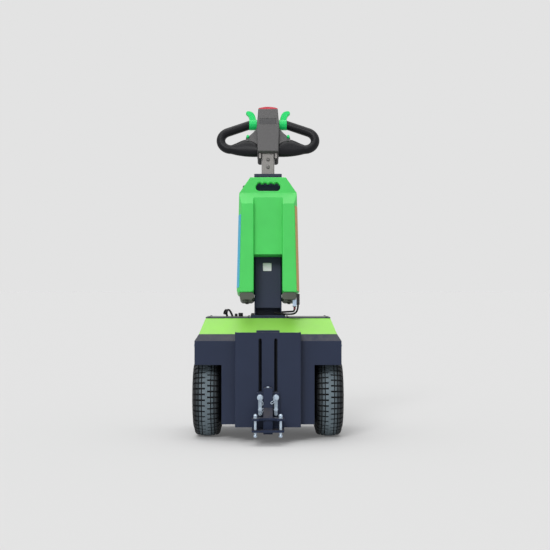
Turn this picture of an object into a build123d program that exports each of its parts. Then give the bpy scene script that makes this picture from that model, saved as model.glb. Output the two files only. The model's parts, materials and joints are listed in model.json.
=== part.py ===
"""Walk-behind electric tow tug, built the way the real machine is built.

Frame: +X to the right as seen from the coupling, -Y towards the coupling, +Z up.
The origin is on the floor, under the middle of the drive axle. Millimetres.
"""

import os
from math import cos, radians, sin, sqrt, tan

from build123d import *

# Drive wheels
TYRE_RADIUS = 155.0
TYRE_WIDTH = 106.0
TYRE_SHOULDER = 16.0
TYRE_SHOULDER_INSET = 4.0
TYRE_SHOULDER_DROP = 5.6
TYRE_BULGE = 9.5
TREAD_CROWN = 4.0
TREAD_GROOVE_WIDTH = 5.0
TREAD_GROOVE_DEPTH = 5.0
TREAD_GROOVE_OFFSET = 21.0
BEAD_RADIUS = 58.0
BEAD_WIDTH = 72.0
TYRE_OVERHANG = 10.0
RIM_WALL = 4.0
RIM_FLANGE_HEIGHT = 9.0
RIM_DISC = 5.0
RIM_DISC_OFFSET = 12.0
HUB_RADIUS = 30.0
HUB_LENGTH = 62.0
HUB_CAP_RADIUS = 21.0
HUB_CAP_HEIGHT = 10.0
HUB_CAP_TAPER = 12.0
SHAFT_RADIUS = 12.5
WHEEL_BOLTS = 4
WHEEL_BOLT_CIRCLE = 42.0
WHEEL_BOLT_RADIUS = 6.0
WHEEL_BOLT_HEAD = 6.0

# Clearances
RUNNING_FIT = 0.05
SLIDING_FIT = 0.3
BOLT_FIT = 0.3
SEAT_FIT = 0.2

# Sheet-metal body
SHEET = 3.0
BODY_WIDTH = 552.0
FRONT_REACH = 160.0
REAR_REACH = 310.0
BODY_BOTTOM = 62.0
SHOULDER_HEIGHT = 375.0
BAND_RISE = 25.0
BAND_INSET = 16.0
FENDER_EDGE = 285.0
ARCH_CLEARANCE = 17.0
WELL_SIDE_GAP = 5.5
WELL_TOP_GAP = 17.0
WELL_REAR_GAP = 20.0
SIDE_SKIRT = 110.0
REAR_SKIRT = 120.0
MITRE_DEPTH = 40.0

# Hood and top plate
HOOD_RISE = 57.0
HOOD_FRONT_RUN = 84.0
HOOD_REAR_RUN = 184.0
HOOD_SIDE_RUN = 21.0
TOP_PLATE = 4.0

# Floor pan and rear deck
FLOOR_PLATE = 4.0

# Drive unit
AXLE_TUBE_RADIUS = 30.0
AXLE_HOLE_GAP = 5.0
AXLE_TUBE_END_GAP = 8.0
AXLE_FOOT_INSET = 64.5
AXLE_FOOT = (40.0, 56.0)
GEAR_CASE_WIDTH = 110.0
GEAR_CASE_RADIUS = 72.0
MOTOR_RADIUS = 58.0
MOTOR_LENGTH = 230.0
MOTOR_RISE = 108.0

# Castor
CASTOR_REAR_GAP = 3.0
CASTOR_RISER_GAP = 13.0
CASTOR_HEIGHT = 128.0
CASTOR_RADIUS = 50.0
CASTOR_WIDTH = 36.0
CASTOR_TRAIL = 32.0
CASTOR_SIDE_GAP = 5.5
CASTOR_LEG = 4.0
CASTOR_LEG_WIDTH = 34.0
CASTOR_LEG_TIP = 10.0
CASTOR_LEG_DROP = 8.5
CASTOR_EYE_RADIUS = 12.0
CASTOR_CROWN = 4.5
CASTOR_BEARING_RADIUS = 27.0
CASTOR_PLATE = 5.0
CASTOR_PLATE_SIZE = (100.0, 85.0)
CASTOR_PLATE_CORNER = 8.0
CASTOR_RING = 10.0
CASTOR_PIN_END = 3.0
CASTOR_PIN_RADIUS = 5.0
CASTOR_HUB_RADIUS = 11.0
CASTOR_KINGPIN_RADIUS = 7.0
CASTOR_TREAD = 9.0

# Coupling guide on the front panel
GUIDE_WIDTH = 245.0
GUIDE_STANDOFF = 50.0
GUIDE_SHEET = 4.0
GUIDE_BOTTOM = 57.0
GUIDE_TOP = 409.0
GUIDE_BEND = 6.0
SLOT_SPACING = 58.0
SLOT_WIDTH = 12.0
SLOT_BOTTOM = 115.0
SLOT_TOP = 387.0
ROD_SPACING = 62.0
ROD_RADIUS = 6.0
ROD_DEPTH = 32.0
BRACKET_HEIGHT = 12.0
BRACKET_TOP = 416.0
BRACKET_TOP_WIDTH = 86.0
BRACKET_BOTTOM = 60.0
BRACKET_BOTTOM_WIDTH = 120.0
BRACKET_REAR_GAP = 3.0

# Coupling carriage, bracket, jaw and pins
CARRIAGE_WIDTH = 120.0
CARRIAGE_BOTTOM = 104.0
CARRIAGE_TOP = 190.0
CARRIAGE_GAP = 6.0
CARRIAGE_DEPTH = 32.0
DRAW_PLATE = 8.0
DRAW_PLATE_WIDTH = 84.0
DRAW_PLATE_BOTTOM = 108.0
DRAW_PLATE_TOP = 188.0
PAD_GAP = 5.0
PAD_RADIUS = 10.0
DRAW_POST_WIDTH = 34.0
DRAW_POST_DEPTH = 22.0
DRAW_POST_BOTTOM = 100.0
DRAW_POST_TOP = 207.0
DRAW_POST_CROWN = 8.5
UPPER_BOLT_Z = 169.0
LOWER_BOLT_Z = 126.0
BOLT_RADIUS = 5.0
WASHER_RADIUS = 11.5
WASHER = 2.5
BOLT_HEAD_FLATS = 17.0
BOLT_HEAD = 6.5
NUT_FLATS = 14.0
LINK_WIDTH = 13.0
LINK = 4.0
LINK_END = 24.0
JAW_WIDTH = 119.0
JAW_DEPTH = 65.0
JAW_PLATE = 8.0
JAW_TOP = 100.0
JAW_BOTTOM = 50.0
JAW_NOTCH_RADIUS = 34.0
JAW_NOTCH_DEPTH = 26.0
JAW_CORNER = 12.0
JAW_POST_WIDTH = 34.0
JAW_POST_DEPTH = 34.0
JAW_POST_BOTTOM = 40.0
RAMP_RISE = 34.0
RAMP_RUN = 38.0
PIN_SPACING = 92.0
PIN_SETBACK = 17.0
PIN_RADIUS = 5.0
PIN_COLLAR_RADIUS = 7.5
PIN_COLLAR = 4.0
PIN_BALL_RADIUS = 7.0
PIN_BALL_RISE = 5.5
PIN_DROP = 14.0

# Mast, leaning back towards the operator
MAST_LEAN = 8.0
MAST_FOOT_Y = -46.0
MAST_WIDTH = 105.0
MAST_DEPTH = 62.0
MAST_WALL = 4.0
MAST_LENGTH = 556.0
MAST_DOOR_TOP = 40.0
MAST_DOOR_SILL = 10.0
MAST_BEND = 5.0
FOOT_FLANGE = 8.0
FOOT_MARGIN = 14.0
CAP_PLATE = 12.0
CAP_MARGIN = 1.5
TUBE_WIDTH = 50.0
TUBE_DEPTH = 40.0
TUBE_WALL = 3.0
TUBE_CORNER = 4.0
TUBE_INSERT = 136.0
TUBE_BOLT_RADIUS = 6.5
TUBE_BOLT_HEAD = 3.0
TUBE_BOLT_DROPS = (27.0, 57.0)

# Battery pack hung on the mast
PACK_BOTTOM = 90.0
PACK_TOP_GAP = 13.0
PACK_REAR = 50.0
PACK_FRONT = 90.0
PACK_HALF_BOTTOM = 119.0
PACK_HALF_SHOULDER = 111.0
PACK_HALF_TOP = 69.0
PACK_CROWN = 62.0
PACK_SLOPE = 50.0
PACK_HANDLE_FRONT = 52.0
PACK_HANDLE_DEPTH = 22.0
PACK_CHAMFER = 11.0
PACK_CHAMFER_DEPTH = 30.0
PACK_ROUND = 4.0
PACK_FOOT_ROUND = 10.0
PACK_GAP_HALF = 54.5
PACK_RECESS_DEPTH = 22.0
PACK_LEG = 148.0
PACK_MAST_GAP = 1.0
HANDHOLD_WIDTH = 95.0
HANDHOLD_RISE = 8.0
HANDHOLD_HEIGHT = 29.0
HANDHOLD_SCALLOPS = 4
HANDHOLD_SCALLOP_RADIUS = 9.0

# Cradles under the battery pack's legs
CRADLE_DROP = 28.0
CRADLE_ROUND = 14.0
CRADLE_FRONT = 84.0
CRADLE_REAR = 44.0
CRADLE_OUTER = 108.0

# Control head
HEAD_LEAN = 25.0
HEAD_RISE = 99.0
HEAD_LENGTH = 192.0
HEAD_DEPTH = 56.0
HEAD_HALF_TOP = 37.0
HEAD_HALF_MID = 42.0
HEAD_MID = 156.0
HEAD_BOTTOM = -8.0
HEAD_ROUND = 5.0
SHOULDER_TOP = 118.0
SHOULDER_END = (88.0, 66.0)
SHOULDER_HOLLOW = 5.0
SHOULDER_DEPTH = 36.0
SHOULDER_ROUND = 4.0
SEAM = 0.4
COVER = 9.0
COVER_HALF_TOP = 39.0
COVER_HALF_MID = 45.0
COVER_HALF_BOTTOM = 41.0
COVER_MID = 104.0
COVER_TOP_GAP = 3.0
COVER_ROUND = 4.0
LABEL_HALF = 33.0
LABEL_BOTTOM = 116.0
LABEL_HEIGHT = 28.0
LABEL_SINK = 1.0
CLAMP_HALF = 41.0
CLAMP_DROP = 28.0
CLAMP_DEPTH = 44.0
CLAMP_ROUND = 10.0
GRIP_RADIUS = 17.5
GRIP_TURN_RADIUS = 41.0
GRIP_HALF_WIDTH = 187.0
GRIP_BAR_Q = 21.0
GRIP_ARM_SLOPE = 21.5
GRIP_ARM_INNER = 75.0
GRIP_NECK = (124.0, 23.0, 52.0, 38.0)
GRIP_SWELL = (92.0, 27.5, 73.0, 42.0)
GRIP_ROOT = (15.0, 50.0, 46.0)
THROTTLE_Q = 135.0
THROTTLE_HUB_RADIUS = 21.0
THROTTLE_SHAFT_RADIUS = 7.0
THROTTLE_GAP = 2.0
WING_REACH = 61.0
WING_THICKNESS = 14.0
WING_WIDTH = 25.0
WING_FLARE = 30.0
WING_TIP = 16.0
WING_TIP_DROP = 10.0
WING_TIP_ROUND = 2.0
WING_HEEL = 43.0
WING_INSTEP = 13.0
WING_ANKLE = 25.0
WING_SOLE = 4.0
WING_SOLE_DROP = 7.0
SWITCH_CAP_HEIGHT = 13.0
SWITCH_CAP_CROWN = 7.0
SWITCH_CAP_HALF = 38.0
SWITCH_CAP_DEPTH = 56.0
SWITCH_CAP_ROUND = 3.0
KNOB_RADIUS = 6.5
KNOB_HEIGHT = 9.0
KNOB_TAPER = 8.0
KNOB_X = 80.0
KNOB_Q = 67.0

# Fittings on the top plate and mast
SOCKET_X = -107.0
SOCKET_Y = 45.0
SOCKET_RADIUS = 9.0
SOCKET_BORE = 5.5
SOCKET_HEIGHT = 14.0
SOCKET_DEPTH = 11.0
SWITCH_X = -125.0
SWITCH_RADIUS = 6.0
SWITCH_HEIGHT = 11.0
SWITCH_TAPER = 4.0
CAP_X = -157.0
CAP_RADIUS = 12.0
CAP_HEIGHT = 34.0
CAP_DEPTH = 6.0
CAP_TURN = 30.0
STRAP_WIDTH = 8.0
STRAP = 3.0
LATCH_DROP = 21.0
LATCH_REACH = 40.0
LATCH_KNOB_RADIUS = 7.0
LATCH_STEM_RADIUS = 4.0

# Battery plug and its two leads
PLUG_HALF_WIDTH = 14.0
PLUG_DEPTH = 22.0
PLUG_FRONT = 78.0
PLUG_LENGTH = 25.0
SOCKET_HALF_WIDTH = 12.0
SOCKET_HALF_BOTTOM = 45.0
SOCKET_HALF_TOP = 84.0
LEAD_RADIUS = 3.5
BEND_SHARE = 0.45

# Derived places
TRACK = BODY_WIDTH + 2 * TYRE_OVERHANG - TYRE_WIDTH
CASTOR_SWING = CASTOR_TRAIL + CASTOR_RADIUS
CASTOR_Y = REAR_REACH - CASTOR_SWING - CASTOR_REAR_GAP
RISER_Y = CASTOR_Y - CASTOR_SWING - CASTOR_RISER_GAP
HEAD_BASE = MAST_LENGTH + HEAD_RISE
TUBE_BOTTOM = MAST_LENGTH - TUBE_INSERT
PACK_TOP = MAST_LENGTH - PACK_TOP_GAP
PACK_SHOULDER = PACK_TOP - PACK_CROWN
PACK_SLOPE_FOOT = PACK_SHOULDER - PACK_SLOPE
PACK_RECESS_BOTTOM = PACK_BOTTOM + PACK_LEG
HANDHOLD_BOTTOM = PACK_SHOULDER + HANDHOLD_RISE
HANDHOLD_TOP = HANDHOLD_BOTTOM + HANDHOLD_HEIGHT
LATCH_HEIGHT = PACK_TOP - LATCH_DROP
AXLE_Z = TYRE_RADIUS
FRONT_Y = -FRONT_REACH
REAR_Y = REAR_REACH
BODY_LENGTH = FRONT_REACH + REAR_REACH
BODY_MID_Y = (FRONT_Y + REAR_Y) / 2
BAND_TOP = SHOULDER_HEIGHT + BAND_RISE
HOOD_TOP = BAND_TOP + HOOD_RISE
DECK_TOP = HOOD_TOP + TOP_PLATE
WELL_X = TRACK / 2 - TYRE_WIDTH / 2 - WELL_SIDE_GAP
AXLE_FOOT_X = WELL_X - AXLE_FOOT_INSET
WELL_TOP = 2 * TYRE_RADIUS + WELL_TOP_GAP
WELL_REAR = TYRE_RADIUS + WELL_REAR_GAP
GUIDE_Y = FRONT_Y - GUIDE_STANDOFF
GUIDE_INSIDE_Y = GUIDE_Y + GUIDE_SHEET
ROD_Y = GUIDE_Y + ROD_DEPTH
CARRIAGE_Y = GUIDE_INSIDE_Y + CARRIAGE_GAP
DRAW_BACK_Y = GUIDE_Y - PAD_GAP
DRAW_FRONT_Y = DRAW_BACK_Y - DRAW_PLATE
LINK_FRONT_Y = DRAW_FRONT_Y - LINK

# The mast's own planes: MAST has its Z along the mast, with its origin at the middle of the
# mast's front face, level with the hood's top. MAST_FACE looks out of that face, Y up it.
MAST = Plane(
    origin=(0, MAST_FOOT_Y, HOOD_TOP),
    x_dir=(1, 0, 0),
    z_dir=(0, sin(radians(MAST_LEAN)), cos(radians(MAST_LEAN))),
)
MAST_FACE = Plane(origin=MAST.origin, x_dir=(1, 0, 0), z_dir=-MAST.y_dir)
MAST_DEPTH_AXIS = Axis(MAST.origin, MAST.y_dir)
# The head's planes: HEAD_FACE lies in the middle of the head's depth, X across and Y up it.
HEAD_ORIGIN = MAST.from_local_coords(Vector(0, MAST_DEPTH / 2, HEAD_BASE))
HEAD_FACE = Plane(
    origin=HEAD_ORIGIN,
    x_dir=(1, 0, 0),
    z_dir=(0, -cos(radians(HEAD_LEAN)), sin(radians(HEAD_LEAN))),
)
HEAD = Plane(origin=HEAD_ORIGIN, x_dir=(1, 0, 0), z_dir=HEAD_FACE.y_dir)
HEAD_OUT = Axis(HEAD_ORIGIN, HEAD_FACE.z_dir)

os.makedirs("parts", exist_ok=True)


def save(piece, name):
    """Labels a finished piece and writes its STEP file."""
    piece.label = name
    export_step(piece, f"parts/{name}.step")


def side_plane(x, y=0.0, z=0.0):
    """A plane across the machine at x: its X runs to the rear, its Y up, its normal to the right."""
    return Plane(origin=(x, y, z), x_dir=(0, 1, 0), z_dir=(1, 0, 0))


def wheel_plane(side):
    """A plane through a drive wheel's centre: its X runs across the machine, its Y up."""
    return Plane(origin=(side * TRACK / 2, 0, AXLE_Z), x_dir=(side, 0, 0), z_dir=(0, -side, 0))


# Sheet-metal tub: the outer form, then its shell, which the four panels are cut from

def tub_form():
    """The tub's outer form as a solid: upright walls with a sloping band on top."""
    with BuildPart() as form:
        with BuildSketch(Plane.XY.offset(BODY_BOTTOM)):
            with Locations((0, BODY_MID_Y)):
                Rectangle(BODY_WIDTH, BODY_LENGTH)
        extrude(amount=SHOULDER_HEIGHT - BODY_BOTTOM)
        with BuildSketch(Plane.XY.offset(SHOULDER_HEIGHT)):
            with Locations((0, BODY_MID_Y)):
                Rectangle(BODY_WIDTH, BODY_LENGTH)
        with BuildSketch(Plane.XY.offset(BAND_TOP)):
            with Locations((0, BODY_MID_Y)):
                Rectangle(BODY_WIDTH - 2 * BAND_INSET, BODY_LENGTH - 2 * BAND_INSET)
        loft()
    return form.part


def tub_shell():
    """The tub's walls and sloping band as one shell, open above and below."""
    with BuildPart() as shell:
        add(tub_form())
        ends = shell.faces().filter_by(Axis.Z)
        offset(amount=-SHEET, openings=[ends.sort_by(Axis.Z)[0], ends.sort_by(Axis.Z)[-1]])
    return shell.part


def mitre_wedge(corner_a, corner_b, inward):
    """Plan outline of one panel's share of the tub, cut at 45 degrees at both corners."""
    (ax, ay), (bx, by) = corner_a, corner_b
    along = Vector(bx - ax, by - ay).normalized()
    depth = Vector(*inward) * MITRE_DEPTH
    a_in = Vector(ax, ay) + depth + along * MITRE_DEPTH
    b_in = Vector(bx, by) + depth - along * MITRE_DEPTH
    a_out = Vector(ax, ay) - depth - along * MITRE_DEPTH
    b_out = Vector(bx, by) - depth + along * MITRE_DEPTH
    return [(p.X, p.Y) for p in (a_out, a_in, b_in, b_out)]


def tub_panel(corner_a, corner_b, inward):
    """One wall of the tub with its length of the sloping band."""
    with BuildPart() as panel:
        add(TUB)
        with BuildSketch(Plane.XY.offset(BODY_BOTTOM)):
            with BuildLine():
                Polyline(*mitre_wedge(corner_a, corner_b, inward), close=True)
            make_face()
        extrude(amount=BAND_TOP - BODY_BOTTOM, mode=Mode.INTERSECT)
    return panel.part


TUB = tub_shell()
TUB_INSIDE = tub_form() - TUB
LEFT_X, RIGHT_X = -BODY_WIDTH / 2, BODY_WIDTH / 2

with BuildPart() as front_panel:
    add(tub_panel((LEFT_X, FRONT_Y), (RIGHT_X, FRONT_Y), (0, 1)))
    # The wheels stand in cut-outs at both lower corners.
    cut_width = BODY_WIDTH / 2 - WELL_X
    with BuildSketch(Plane.XZ.offset(-FRONT_Y)):
        for side in (-1, 1):
            with Locations((side * (WELL_X + cut_width / 2), (FENDER_EDGE + BODY_BOTTOM) / 2)):
                Rectangle(cut_width, FENDER_EDGE - BODY_BOTTOM)
    extrude(amount=-MITRE_DEPTH, mode=Mode.SUBTRACT)
save(front_panel.part, "front_panel")

for side, name in ((-1, "left_side_panel"), (1, "right_side_panel")):
    edge_x = side * BODY_WIDTH / 2
    with BuildPart() as side_panel:
        add(tub_panel((edge_x, FRONT_Y), (edge_x, REAR_Y), (-side, 0)))
        # Round arch over the wheel, open to the front, and a raised skirt behind it.
        with BuildSketch(side_plane(edge_x)):
            with Locations((0, AXLE_Z)):
                Circle(TYRE_RADIUS + ARCH_CLEARANCE)
            with Locations((FRONT_Y / 2, (FENDER_EDGE + BODY_BOTTOM) / 2)):
                Rectangle(FRONT_REACH, FENDER_EDGE - BODY_BOTTOM)
            with Locations((REAR_Y / 2, (SIDE_SKIRT + BODY_BOTTOM) / 2)):
                Rectangle(REAR_REACH, SIDE_SKIRT - BODY_BOTTOM)
        extrude(amount=MITRE_DEPTH, both=True, mode=Mode.SUBTRACT)
    save(side_panel.part, name)

with BuildPart() as rear_panel:
    add(tub_panel((LEFT_X, REAR_Y), (RIGHT_X, REAR_Y), (0, -1)))
    with BuildSketch(Plane.XY.offset(BODY_BOTTOM)):
        with Locations((0, REAR_Y)):
            Rectangle(BODY_WIDTH, 2 * MITRE_DEPTH)
    extrude(amount=REAR_SKIRT - BODY_BOTTOM, mode=Mode.SUBTRACT)
save(rear_panel.part, "rear_panel")

# Hood: a folded cover that slopes on all four sides, open at the top under the top plate
hood_front, hood_rear = FRONT_Y + BAND_INSET, REAR_Y - BAND_INSET
top_front, top_rear = hood_front + HOOD_FRONT_RUN, hood_rear - HOOD_REAR_RUN
hood_width = BODY_WIDTH - 2 * BAND_INSET
top_width = hood_width - 2 * HOOD_SIDE_RUN
with BuildPart() as hood:
    with BuildSketch(Plane.XY.offset(BAND_TOP)):
        with Locations((0, (hood_front + hood_rear) / 2)):
            Rectangle(hood_width, hood_rear - hood_front)
    with BuildSketch(Plane.XY.offset(HOOD_TOP)):
        with Locations((0, (top_front + top_rear) / 2)):
            Rectangle(top_width, top_rear - top_front)
    loft()
    ends = hood.faces().filter_by(Axis.Z).sort_by(Axis.Z)
    offset(amount=-SHEET, openings=[ends[0], ends[-1]])
save(hood.part, "hood")

with BuildPart() as top_plate:
    with BuildSketch(Plane.XY.offset(HOOD_TOP)):
        with Locations((0, (top_front + top_rear) / 2)):
            Rectangle(top_width, top_rear - top_front)
    extrude(amount=TOP_PLATE)
save(top_plate.part, "top_plate")

# Floor pan between the wheel wells, stepping up to the deck that carries the castor
with BuildPart() as floor_pan:
    with BuildSketch(side_plane(-WELL_X + SHEET)):
        with BuildLine():
            front, rear = FRONT_Y + SHEET, REAR_Y - SHEET
            Polyline(
                (front, BODY_BOTTOM),
                (RISER_Y, BODY_BOTTOM),
                (RISER_Y, CASTOR_HEIGHT),
                (rear, CASTOR_HEIGHT),
                (rear, CASTOR_HEIGHT + FLOOR_PLATE),
                (RISER_Y - FLOOR_PLATE, CASTOR_HEIGHT + FLOOR_PLATE),
                (RISER_Y - FLOOR_PLATE, BODY_BOTTOM + FLOOR_PLATE),
                (front, BODY_BOTTOM + FLOOR_PLATE),
                close=True,
            )
        make_face()
    extrude(amount=2 * (WELL_X - SHEET))
    # Behind the wheels the deck runs out to both side panels.
    deck_rear = REAR_Y - SHEET
    for side in (-1, 1):
        with BuildSketch(Plane.XY.offset(CASTOR_HEIGHT)):
            deck_out = BODY_WIDTH / 2 - SHEET
            deck_in = WELL_X - SHEET
            with Locations((side * (deck_in + deck_out) / 2, (WELL_REAR + deck_rear) / 2)):
                Rectangle(deck_out - deck_in, deck_rear - WELL_REAR)
        extrude(amount=FLOOR_PLATE)
save(floor_pan.part, "floor_pan")

# Wheel wells: inner wall, roof and rear wall of each wheel's housing
with BuildPart() as wheel_wells:
    well_front, deck_top = FRONT_Y + SHEET, CASTOR_HEIGHT + FLOOR_PLATE
    well_depth = BODY_WIDTH / 2 - WELL_X
    for side in (-1, 1):
        inner_wall = side_plane(side * (WELL_X - SHEET))
        with BuildSketch(inner_wall):
            with BuildLine():
                Polyline(
                    (well_front, BODY_BOTTOM),
                    (RISER_Y, BODY_BOTTOM),
                    (RISER_Y, deck_top),
                    (WELL_REAR + SHEET, deck_top),
                    (WELL_REAR + SHEET, WELL_TOP + SHEET),
                    (well_front, WELL_TOP + SHEET),
                    close=True,
                )
            make_face()
            with Locations((0, AXLE_Z)):
                Circle(AXLE_TUBE_RADIUS + AXLE_HOLE_GAP, mode=Mode.SUBTRACT)
        extrude(amount=side * SHEET)
        with BuildSketch(inner_wall):
            with Locations(((well_front + WELL_REAR + SHEET) / 2, WELL_TOP + SHEET / 2)):
                Rectangle(WELL_REAR + SHEET - well_front, SHEET)
            with Locations((WELL_REAR + SHEET / 2, (deck_top + WELL_TOP + SHEET) / 2)):
                Rectangle(SHEET, WELL_TOP + SHEET - deck_top)
        extrude(amount=side * well_depth)
    # Both wells end at the panels' inner faces.
    add(TUB_INSIDE, mode=Mode.INTERSECT)
save(wheel_wells.part, "wheel_wells")

# Drive axle with its gear case, and the motor block above it
tube_end = WELL_X + AXLE_TUBE_END_GAP
hub_inner = TRACK / 2 - HUB_LENGTH / 2
hub_outer = TRACK / 2 + HUB_LENGTH / 2
with BuildPart() as drive_axle:
    with BuildSketch(side_plane(-tube_end)):
        with Locations((0, AXLE_Z)):
            Circle(AXLE_TUBE_RADIUS)
    extrude(amount=2 * tube_end)
    with BuildSketch(side_plane(-hub_outer)):
        with Locations((0, AXLE_Z)):
            Circle(SHAFT_RADIUS)
    extrude(amount=2 * hub_outer)
    with BuildSketch(side_plane(-GEAR_CASE_WIDTH / 2)):
        with Locations((0, AXLE_Z)):
            Circle(GEAR_CASE_RADIUS)
    extrude(amount=GEAR_CASE_WIDTH)
    # Feet that stand on the floor pan, and collars that the wheel hubs run against
    floor_top = BODY_BOTTOM + FLOOR_PLATE
    for side in (-1, 1):
        with BuildSketch(Plane.XY.offset(floor_top)):
            with Locations((side * AXLE_FOOT_X, 0)):
                Rectangle(*AXLE_FOOT)
        extrude(amount=AXLE_Z - floor_top)
    for side in (-1, 1):
        with BuildSketch(side_plane(side * tube_end)):
            with Locations((0, AXLE_Z)):
                Circle(HUB_CAP_RADIUS)
        extrude(amount=side * (hub_inner - SLIDING_FIT - tube_end))
save(drive_axle.part, "drive_axle")

with BuildPart() as drive_motor:
    with BuildSketch(side_plane(-MOTOR_LENGTH / 2)):
        with Locations((0, AXLE_Z + MOTOR_RISE)):
            Circle(MOTOR_RADIUS)
    extrude(amount=MOTOR_LENGTH)
    with BuildSketch(side_plane(-GEAR_CASE_WIDTH / 2)):
        with Locations((0, AXLE_Z)):
            Circle(GEAR_CASE_RADIUS)
    extrude(amount=GEAR_CASE_WIDTH, mode=Mode.SUBTRACT)
save(drive_motor.part, "drive_motor")


# Drive wheels: a block-tread tyre on a pressed rim with a bored hub

def make_tyre(side):
    """Tyre turned about the axle: crowned tread with four grooves, bulged sidewalls, bead."""
    half, shoulder = TYRE_WIDTH / 2, TYRE_RADIUS - TREAD_CROWN
    with BuildPart() as tyre:
        with BuildSketch(wheel_plane(side)):
            with BuildLine():
                bead_half = BEAD_WIDTH / 2
                bead_top = BEAD_RADIUS + RIM_FLANGE_HEIGHT + 2 * SEAT_FIT
                wall_top, edge = shoulder - TYRE_SHOULDER, half - TREAD_CROWN
                Line((-bead_half, BEAD_RADIUS), (bead_half, BEAD_RADIUS))
                for end in (-1, 1):
                    Line((end * bead_half, BEAD_RADIUS), (end * bead_half, bead_top))
                    SagittaArc(
                        (end * bead_half, bead_top), (end * edge, wall_top), -end * TYRE_BULGE
                    )
                    ThreePointArc(
                        (end * edge, wall_top),
                        (end * (edge - TYRE_SHOULDER_INSET), shoulder - TYRE_SHOULDER_DROP),
                        (end * (edge - TYRE_SHOULDER), shoulder),
                    )
                ThreePointArc(
                    (TYRE_SHOULDER - edge, shoulder), (0, TYRE_RADIUS), (edge - TYRE_SHOULDER, shoulder)
                )
            make_face()
            for offset_x in (-TREAD_GROOVE_OFFSET, TREAD_GROOVE_OFFSET):
                with Locations((offset_x, TYRE_RADIUS)):
                    Rectangle(TREAD_GROOVE_WIDTH, 2 * TREAD_GROOVE_DEPTH, mode=Mode.SUBTRACT)
        revolve(axis=Axis((0, 0, AXLE_Z), (1, 0, 0)))
    return tyre.part


def make_rim(side):
    """Pressed rim: barrel with flanges, dished disc, bored hub, cap and wheel bolts."""
    barrel = BEAD_RADIUS - SEAT_FIT
    half = BEAD_WIDTH / 2
    with BuildPart() as rim:
        with BuildSketch(wheel_plane(side)):
            with BuildLine():
                Polyline(
                    (-half - RIM_WALL, barrel - RIM_WALL),
                    (half + RIM_WALL, barrel - RIM_WALL),
                    (half + RIM_WALL, barrel + RIM_FLANGE_HEIGHT),
                    (half + SEAT_FIT, barrel + RIM_FLANGE_HEIGHT),
                    (half + SEAT_FIT, barrel),
                    (-half - SEAT_FIT, barrel),
                    (-half - SEAT_FIT, barrel + RIM_FLANGE_HEIGHT),
                    (-half - RIM_WALL, barrel + RIM_FLANGE_HEIGHT),
                    close=True,
                )
            make_face()
            with Locations((RIM_DISC_OFFSET, (HUB_RADIUS + barrel - RIM_WALL) / 2)):
                Rectangle(RIM_DISC, barrel - HUB_RADIUS)
            with BuildLine():
                bore = SHAFT_RADIUS + RUNNING_FIT
                Polyline(
                    (-HUB_LENGTH / 2, bore),
                    (HUB_LENGTH / 2, bore),
                    (HUB_LENGTH / 2, HUB_RADIUS),
                    (-HUB_LENGTH / 2, HUB_RADIUS),
                    close=True,
                )
            make_face()
        revolve(axis=Axis((0, 0, AXLE_Z), (1, 0, 0)))
        # Cap over the shaft's end
        cap_x = side * (TRACK / 2 + HUB_LENGTH / 2)
        with BuildSketch(side_plane(cap_x)):
            with Locations((0, AXLE_Z)):
                Circle(HUB_CAP_RADIUS)
        extrude(amount=side * HUB_CAP_HEIGHT, taper=HUB_CAP_TAPER)
        # Wheel bolts on the disc
        bolt_x = side * (TRACK / 2 + RIM_DISC_OFFSET + RIM_DISC / 2)
        with BuildSketch(side_plane(bolt_x)):
            with Locations((0, AXLE_Z)):
                with PolarLocations(WHEEL_BOLT_CIRCLE, WHEEL_BOLTS):
                    RegularPolygon(WHEEL_BOLT_RADIUS, 6)
        extrude(amount=side * WHEEL_BOLT_HEAD)
    return rim.part


for side, name in ((-1, "left"), (1, "right")):
    save(make_tyre(side), f"{name}_tyre")
    save(make_rim(side), f"{name}_rim")


# Castor: a fixed plate with its bearing ring, a swivelling fork and a wheel
castor_ring_bottom = CASTOR_HEIGHT - CASTOR_PLATE - CASTOR_RING
castor_fork_top = castor_ring_bottom - SLIDING_FIT
castor_inner = CASTOR_WIDTH / 2 + CASTOR_SIDE_GAP
castor_axle_y = CASTOR_Y - CASTOR_TRAIL

with BuildPart() as castor_plate:
    # Bolted top plate with the bearing ring that holds the fork's kingpin
    with BuildSketch(Plane.XY.offset(CASTOR_HEIGHT - CASTOR_PLATE)):
        with Locations((0, CASTOR_Y)):
            RectangleRounded(*CASTOR_PLATE_SIZE, radius=CASTOR_PLATE_CORNER)
    extrude(amount=CASTOR_PLATE)
    with BuildSketch(Plane.XY.offset(castor_ring_bottom)):
        with Locations((0, CASTOR_Y)):
            Circle(CASTOR_BEARING_RADIUS)
            Circle(CASTOR_KINGPIN_RADIUS + RUNNING_FIT, mode=Mode.SUBTRACT)
    extrude(amount=CASTOR_RING)
save(castor_plate.part, "castor_plate")

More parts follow.
